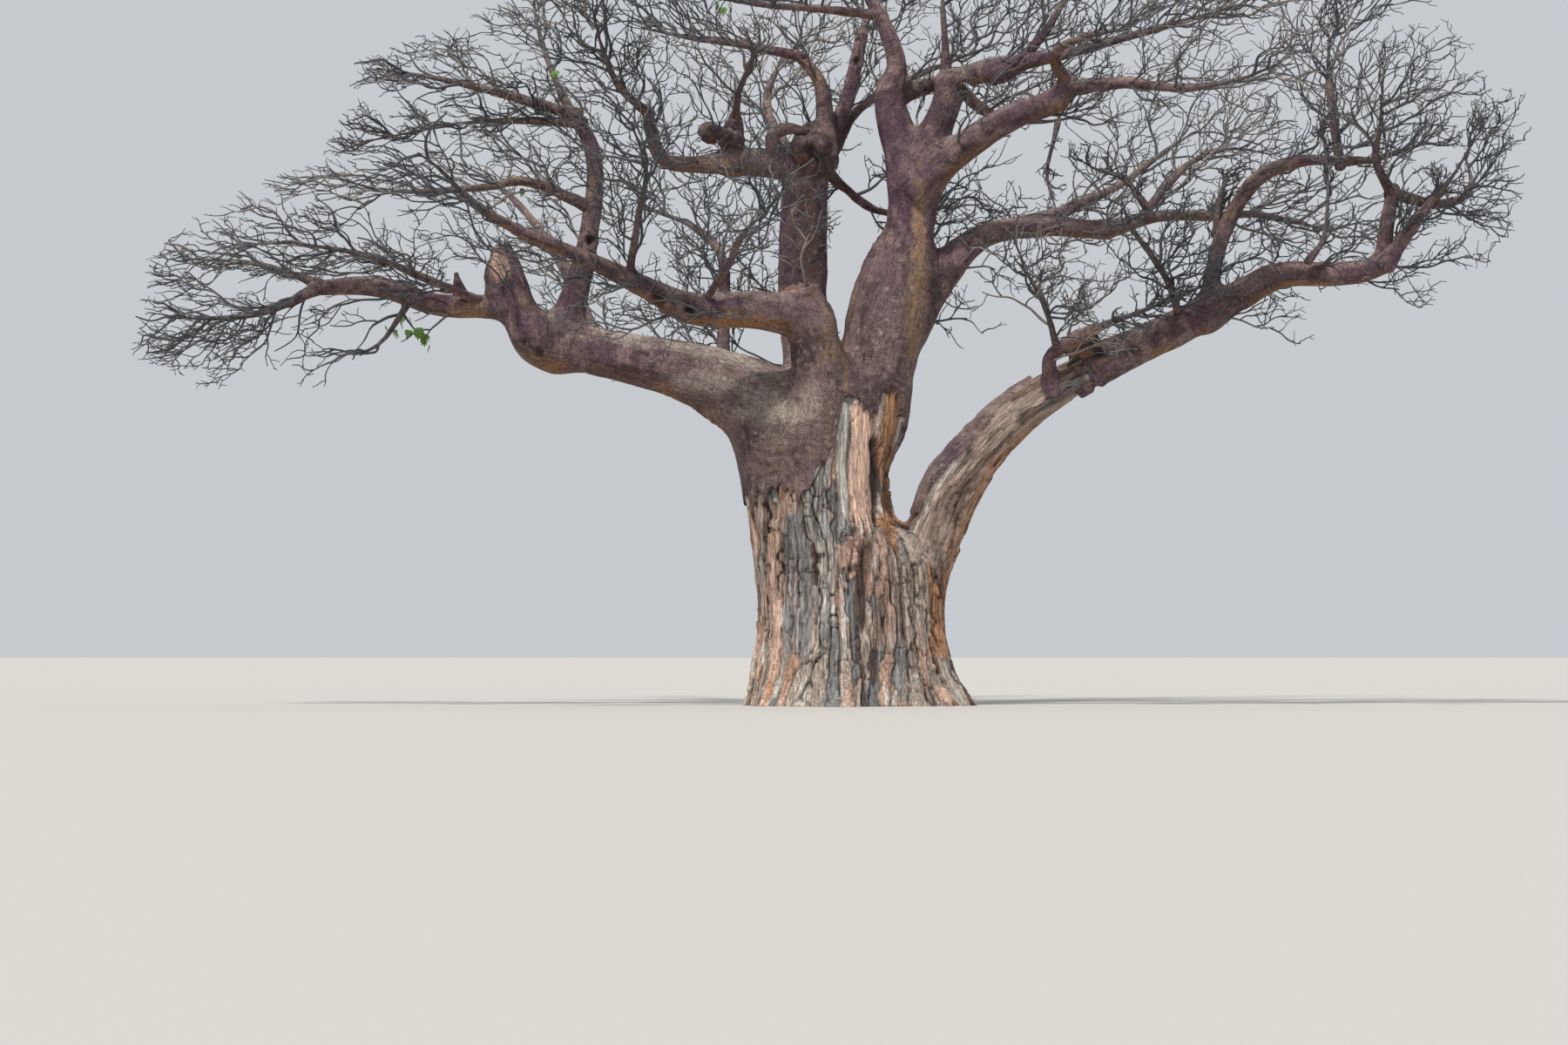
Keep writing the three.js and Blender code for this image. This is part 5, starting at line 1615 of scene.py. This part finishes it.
def bark_grain_group():
    """Fine grain for bark and bare wood, on the limb's own directions: across it twice, then along it.

    Bark has mottling, faint streaks along the limb and thin dark folds across it. Bare wood has fibres and
    long thin cracks. Both make the colour lighter and darker, and give a height for bumps.
    """
    group, given, put_out = new_group(
        "bark grain", (("Colour", "Color"), ("Bare", "Float"), ("Grain", "Vector")),
        (("Colour", "Color"), ("Height", "Float")))

    def shade(low, high, *noise):
        """A noise's middle range as a factor from low to high."""
        return add_range(group, add_noise(group, given.outputs["Grain"], *noise), 0.3, 0.7, low, high)

    def lines(width, strength, *noise):
        """Thin winding lines of a noise as a factor."""
        return near_half(group, add_noise(group, given.outputs["Grain"], *noise), width, strength)

    bark = add_product(group, (
        shade(0.55, 1.45, 26, 5), lines(0.02, 0.5, 6, 5, (0.5, 0.5, 1.5), 0.5),
        shade(0.72, 1.28, 11, 4, (1, 1, 0.16)), lines(0.016, 0.55, 7, 5, (1, 1, 0.35), 0.6),
        shade(0.85, 1.15, 3.0, 4)))
    wood = add_product(group, (
        shade(0.55, 1.42, 34, 6, (1, 1, 0.06)), lines(0.02, 0.6, 13, 4, (1, 1, 0.11)),
        lines(0.03, 0.5, 24, 4, (1, 1, 0.05)), shade(0.7, 1.25, 12, 4, (1, 1, 0.1))))
    tone = add_mix(group, given.outputs["Bare"], bark, wood)
    shaded = group.nodes.new("ShaderNodeVectorMath")
    shaded.operation = "SCALE"
    group.links.new(given.outputs["Colour"], shaded.inputs[0])
    group.links.new(tone, shaded.inputs["Scale"])
    group.links.new(shaded.outputs["Vector"], put_out.inputs["Colour"])
    group.links.new(tone, put_out.inputs["Height"])
    return group


def new_material(name, roughness, shine):
    """A material of one roughness and shine, and its surface."""
    material = bpy.data.materials.new(name)
    material.use_nodes = True
    surface = material.node_tree.nodes["Principled BSDF"]
    surface.inputs["Roughness"].default_value = roughness
    surface.inputs["Specular IOR Level"].default_value = shine
    return material, surface


def bark_material(name, grain, bump):
    """Bark and bare wood, painted by the piece's own tint, bare and grain attributes."""
    material, surface = new_material(name, BARK_ROUGHNESS, BARK_SHINE)
    tree = material.node_tree
    shading = tree.nodes.new("ShaderNodeGroup")
    shading.node_tree = grain
    links = (("tint", "Color", "Colour"), ("bare", "Fac", "Bare"), ("grain", "Vector", "Grain"))
    for label, output, socket in links:
        kept = tree.nodes.new("ShaderNodeAttribute")
        kept.attribute_name = label
        tree.links.new(kept.outputs[output], shading.inputs[socket])
    tree.links.new(shading.outputs["Colour"], surface.inputs["Base Color"])
    bumps = tree.nodes.new("ShaderNodeBump")
    bumps.inputs["Strength"].default_value = bump
    bumps.inputs["Distance"].default_value = BUMP_HEIGHT
    tree.links.new(shading.outputs["Height"], bumps.inputs["Height"])
    tree.links.new(bumps.outputs["Normal"], surface.inputs["Normal"])
    return material


def plain_material(name, colour, roughness):
    """A material of one plain colour."""
    material, surface = new_material(name, roughness, PLAIN_SHINE)
    surface.inputs["Base Color"].default_value = (*colour, 1)
    return material


# Slender limbs: how fine they are, how far their root swells and is buried, how knobby they are, and how
# much and from which share of their length they taper beyond their rows. Then how fine round burls are.
SLENDER_STEP = 0.07
SLENDER_SIDES = 12
ROOT_SWELLS_OVER = 0.22
ROOT_BURIED = 0.08
KNOBBY = (0.22, 0.12)
TIP_TAPER = 0.45
TAPERS_FROM = 0.55
BALL_RINGS = 22
BALL_SIDES = 36
BALL_OPENING = 0.04


def closed_skin(values, rings, sides):
    """Places, colours and grain of a tube's grid with a pole at each end, then its quads and triangles."""
    return [with_poles(column, rings, sides) for column in values] + [*grid_faces(rings, sides)]


def slender_limb(rows, grown):
    """A slender limb's skin with its relief: a round limb whose root is a little thicker, knobby by noise."""
    line = middle_line(rows, SLENDER_STEP)
    line["radius"] = line["radius"] * (1 + grown * np.exp(-line["along"] / ROOT_SWELLS_OVER))
    line["middles"][0] -= line["tangents"][0] * ROOT_BURIED
    share = line["along"] / line["along"][-1]
    line["radius"] = line["radius"] * (1 - TIP_TAPER * ease(share, TAPERS_FROM, 1.0))
    sides = SLENDER_SIDES
    places, rings = limb_skin(line, sides, ROUND_TIP)
    normals = grid_normals(places, rings, sides)
    caps = len(CAP_TURNS)
    radius = np.repeat(np.pad(line["radius"], caps, mode="edge"), sides)
    knobby = KNOBBY[0] * layered_noise(places, 0.45, 71) + KNOBBY[1] * soft_noise(places, 0.16, 72)
    places = places + normals * (radius * knobby)[:, None]
    along = np.repeat(np.pad(line["along"], caps, mode="edge"), sides)
    middle = np.repeat(np.pad(line["middles"], ((caps, caps), (0, 0)), mode="edge"), sides, axis=0)
    apart = places - middle
    grain = np.stack([apart[:, 0], apart[:, 1] + apart[:, 2], along], axis=1)
    colour = bark_colour(places, grain, normals, 2 * radius, "slender")
    colour = mixed(colour, TWIG_BARK, ease(0.09 - radius, 0.0, 0.05))
    return closed_skin((places, colour, grain), rings, sides)


def ball(row):
    """A round burl: the centre plus a radius, made uneven by noise, times the direction at two angles."""
    centre = place_of(*row[:3])
    radius = row[3] * MM
    down = np.linspace(BALL_OPENING, np.pi - BALL_OPENING, BALL_RINGS)[:, None]
    turn = np.linspace(0, 2 * np.pi, BALL_SIDES, endpoint=False)[None]
    upright = -np.cos(down) + 0 * turn
    ways = np.stack([np.sin(down) * np.cos(turn), np.sin(down) * np.sin(turn), upright], axis=2)
    ways = ways.reshape(-1, 3)
    places = centre + radius * ways
    uneven = 1 + 0.16 * layered_noise(places, 0.22, 74) + 0.1 * ridges(places, 0.09, 75)
    places = centre + ways * (radius * uneven)[:, None]
    grain = places - centre
    _, dark = knobs(places)
    # Dark bark by noise, and painted shade in knot holes on the burls' front.
    colour = painted(
        bark_colour(places, grain, ways, np.full(len(places), radius), "ball"),
        (DARK_BARK_AND_SHADE, 0.5 * ease(-layered_noise(places, 0.15, 76), -0.2, 0.4)),
        (PAINTED_SHADE, 0.9 * dark * ease(-ways[:, 1], 0.0, 0.3)),
    )
    return closed_skin((places, colour, grain), BALL_RINGS, BALL_SIDES)


def joined_piece(name, parts, material):
    """Skins joined into one piece of bark."""
    starts = np.cumsum([0] + [len(part[0]) for part in parts[:-1]])
    places, colour, grain = (np.vstack([part[key] for part in parts]) for key in range(3))
    faces = [np.vstack([part[key] + start for part, start in zip(parts, starts)]) for key in (3, 4)]
    return painted_piece(name, (places, colour, np.zeros(len(colour)), grain), faces, material)


# Tufts of young leaves: side, height, how far behind the trunk's plane, how many leaves, how far they
# spread.
TUFTS = (
    (-8480, 7500, -510, 4, 180), (-8330, 7280, -560, 5, 200), (-8150, 7090, -600, 5, 180),
    (-8750, 7330, -560, 5, 230), (-6170, 9830, -450, 2, 120), (-5580, 12240, 280, 2, 120),
    (-2330, 13420, 900, 3, 150),
)
LEAFLETS = 6
LEAFLET_LENGTH = 0.155
LEAFLET_WIDTH = 0.045
LEAFLET_THICKNESS = 0.004
FAN = 1.25
LEAFLET_RINGS = (0.06, 0.3, 0.55, 0.8, 0.97)
LEAFLET_POINT = 0.002
LEAF_GREEN = (0.150, 0.300, 0.060)


def leaf_tufts():
    """Palmate leaves that hang in tufts, as centres, directions and lengths of their leaflets.

    A leaf's leaflets fan out over a turn round the leaf's own drooping axis, by equal steps and a little
    chance.
    """
    leaflets = []
    for number, (side, height, back, leaves, spread) in enumerate(TUFTS):
        centre = place_of(side, height, back)
        for leaf in range(leaves):
            pick = chance(np.arange(8) + 8 * leaf + 97 * number, 21)
            start = centre + (pick[:3] - 0.5) * 2 * spread * MM
            droop = unit(np.array((pick[3] - 0.5, -0.4 * pick[4], -0.6 - 0.4 * pick[5])))
            across = unit(np.cross(droop, SKEWED_UP))
            turn = np.linspace(-FAN, FAN, LEAFLETS) + 0.1 * pick[6]
            ways = droop * np.cos(turn)[:, None] + across * np.sin(turn)[:, None]
            length = LEAFLET_LENGTH * (1 - 0.25 * np.abs(turn)) * (0.8 + 0.4 * pick[7])
            flat = np.tile(np.cross(droop, across), (LEAFLETS, 1))
            leaflets.append((np.tile(start, (LEAFLETS, 1)), ways, flat, length))
    return [np.concatenate(column) for column in zip(*leaflets)]


def leaf_piece():
    """All leaflets as one piece. A leaflet is a flat diamond section carried along its rib: the half width is
    the sine of half a turn times the share, drawn towards the tip, and the section closes at both ends.
    """
    base, heading, flat, length = leaf_tufts()
    shares = np.array(LEAFLET_RINGS)
    wide = np.sin(np.pi * shares**1.3) * LEAFLET_WIDTH / 2 + LEAFLET_POINT
    across = np.cross(flat, heading)
    droop = -0.25 * shares**2
    rib = base[:, None] + (heading[:, None] * shares[:, None] + UP * droop[:, None]) * length[:, None, None]
    corners = ((1, 0), (0, 1), (-1, 0), (0, -1))
    rings = [rib + across[:, None] * (wide * x)[:, None] + flat[:, None] * (LEAFLET_THICKNESS / 2 * y)
             for x, y in corners]
    points = np.stack(rings, axis=2).reshape(len(base), -1, 3)
    points = np.concatenate([points, rib[:, :1], rib[:, -1:]], axis=1)
    shift = (np.arange(len(base)) * points.shape[1])[:, None, None]
    quads, triangles = (faces[None] + shift for faces in grid_faces(len(shares), len(corners)))
    green = plain_material("young leaf", LEAF_GREEN, 0.6)
    return make_piece(
        "young_leaves", points.reshape(-1, 3), quads.reshape(-1, 4), triangles.reshape(-1, 3), [green])


# Round burls that stand out from a limb: side, height, how far in front, radius.
BALLS = (
    (-2590, 10990, 120, 215), (-2300, 10900, 130, 200), (-2120, 10830, 160, 190), (-560, 10760, 100, 250),
    (-820, 10650, 150, 260), (4630, 6930, -760, 250), (4340, 6870, -740, 170),
)
TWIG_BARK = np.array((0.130, 0.112, 0.112))
TWIG_COLOURS = ((0.078, 0.084, 0.095), (0.122, 0.116, 0.121), (0.220, 0.198, 0.184))
# How much thicker the roots of stems and of small limbs are.
STEM_SWELLS = 0.25
SMALL_LIMB_SWELLS = 0.5


def add_crown(tree):
    """The stems of all the masses, their sprays, and the small limbs with theirs."""
    bark = tree["bough bark"]
    materials = []
    for number, colour in enumerate(TWIG_COLOURS):
        materials.append(plain_material(f"twig bark {number + 1}", colour, TWIG_ROUGHNESS))
    names = list(MASSES)
    stems = [middle_line(rows, STEM_STEP) for _, _, rows in MASSES.values()]
    parts = [slender_limb(rows, STEM_SWELLS) for _, _, rows in MASSES.values()]
    dress(joined_piece("stems", parts, bark), "bough_bark", *names)
    carrying = [row for row in SMALL_LIMBS.values() if row[1] > 0]
    lines = [middle_line(rows, STEM_STEP) for rows, _, _ in carrying]
    first = first_twigs([row[:2] for row in MASSES.values()], tree, stems)
    small = first_twigs([row[1:] for row in carrying], tree, lines)
    side = bough_twigs(tree)
    small["mass"] = small["mass"] + len(names)
    side["mass"] = side["mass"] + len(names) + len(carrying)
    levels = all_twigs({key: np.concatenate([first[key], small[key], side[key]]) for key in first})
    for number, name in enumerate(names):
        dress(spray_piece(name + "_spray", levels, [number], materials), "twigs", name)
    from_limbs = np.arange(len(names), len(names) + len(carrying))
    dress(spray_piece("small_limb_sprays", levels, from_limbs, materials), "twigs")
    from_boughs = np.arange(len(BOUGHS)) + len(names) + len(carrying)
    dress(spray_piece("bough_sprays", levels, from_boughs, materials), "twigs")
    parts = [slender_limb(rows, SMALL_LIMB_SWELLS) for rows, _, _ in SMALL_LIMBS.values()]
    dress(joined_piece("small_limbs", parts, bark), "bough_bark")
    dress(joined_piece("burls", [ball(row) for row in BALLS], bark), "bough_bark")
    dress(leaf_piece(), "twigs")


def dress(piece, slot, *nodes):
    """Ties a piece to the part's root body and hides the nodes it stands for. The finish's slot is not used.
    """
    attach(piece, "root")
    if nodes:
        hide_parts(*nodes)


def add_wood(tree):
    """The trunk and the boughs."""
    dress(trunk_piece(tree, tree["trunk bark"]), "trunk_bark", "trunk")
    for name in BOUGHS:
        dress(bough_piece(name, tree, tree["bough bark"]), "bough_bark", name)


def add_camera():
    """The photo's camera: 75 m off at eye height, with a long lens pitched a little up."""
    data = bpy.data.cameras.new("camera")
    data.lens = LENS
    data.sensor_width = SENSOR_WIDTH
    data.clip_end = FARTHEST_SEEN
    camera = bpy.data.objects.new("camera", data)
    camera.location = EYE
    camera.rotation_euler = (math.pi / 2 + PITCH, 0, 0)
    bpy.context.scene.collection.objects.link(camera)
    bpy.context.scene.camera = camera


def add_floor():
    """A plain pale floor."""
    corners = FLOOR_HALF * np.array(((-1.0, -1, 0), (1, -1, 0), (1, 1, 0), (-1, 1, 0)))
    pale = plain_material("pale floor", FLOOR_COLOUR, 0.9)
    make_piece("floor", corners, np.array([[0, 1, 2, 3]]), np.empty((0, 3), int), [pale])


def add_light():
    """A pale sky and a soft sun from the upper left of the view."""
    world = bpy.data.worlds.new("pale sky")
    world.use_nodes = True
    sky = world.node_tree.nodes["Background"]
    sky.inputs["Color"].default_value = SKY_COLOUR
    sky.inputs["Strength"].default_value = SKY_STRENGTH
    bpy.context.scene.world = world
    sun = bpy.data.lights.new("sun", "SUN")
    sun.energy = SUN_STRENGTH
    sun.angle = math.radians(SUN_SPREAD)
    sun.color = SUN_COLOUR
    lamp = bpy.data.objects.new("sun", sun)
    lamp.rotation_euler = Vector(SUNWARD).to_track_quat("-Z", "Y").to_euler()
    bpy.context.scene.collection.objects.link(lamp)


def main():
    """Builds the whole scene."""
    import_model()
    bpy.context.scene.view_settings.view_transform = "Standard"
    tree = plan_tree()
    grain = bark_grain_group()
    tree["trunk bark"] = bark_material("trunk bark", grain, 0.7)
    tree["bough bark"] = bark_material("bough bark", grain, 0.6)
    add_wood(tree)
    add_crown(tree)
    add_floor()
    add_light()
    add_camera()


main()
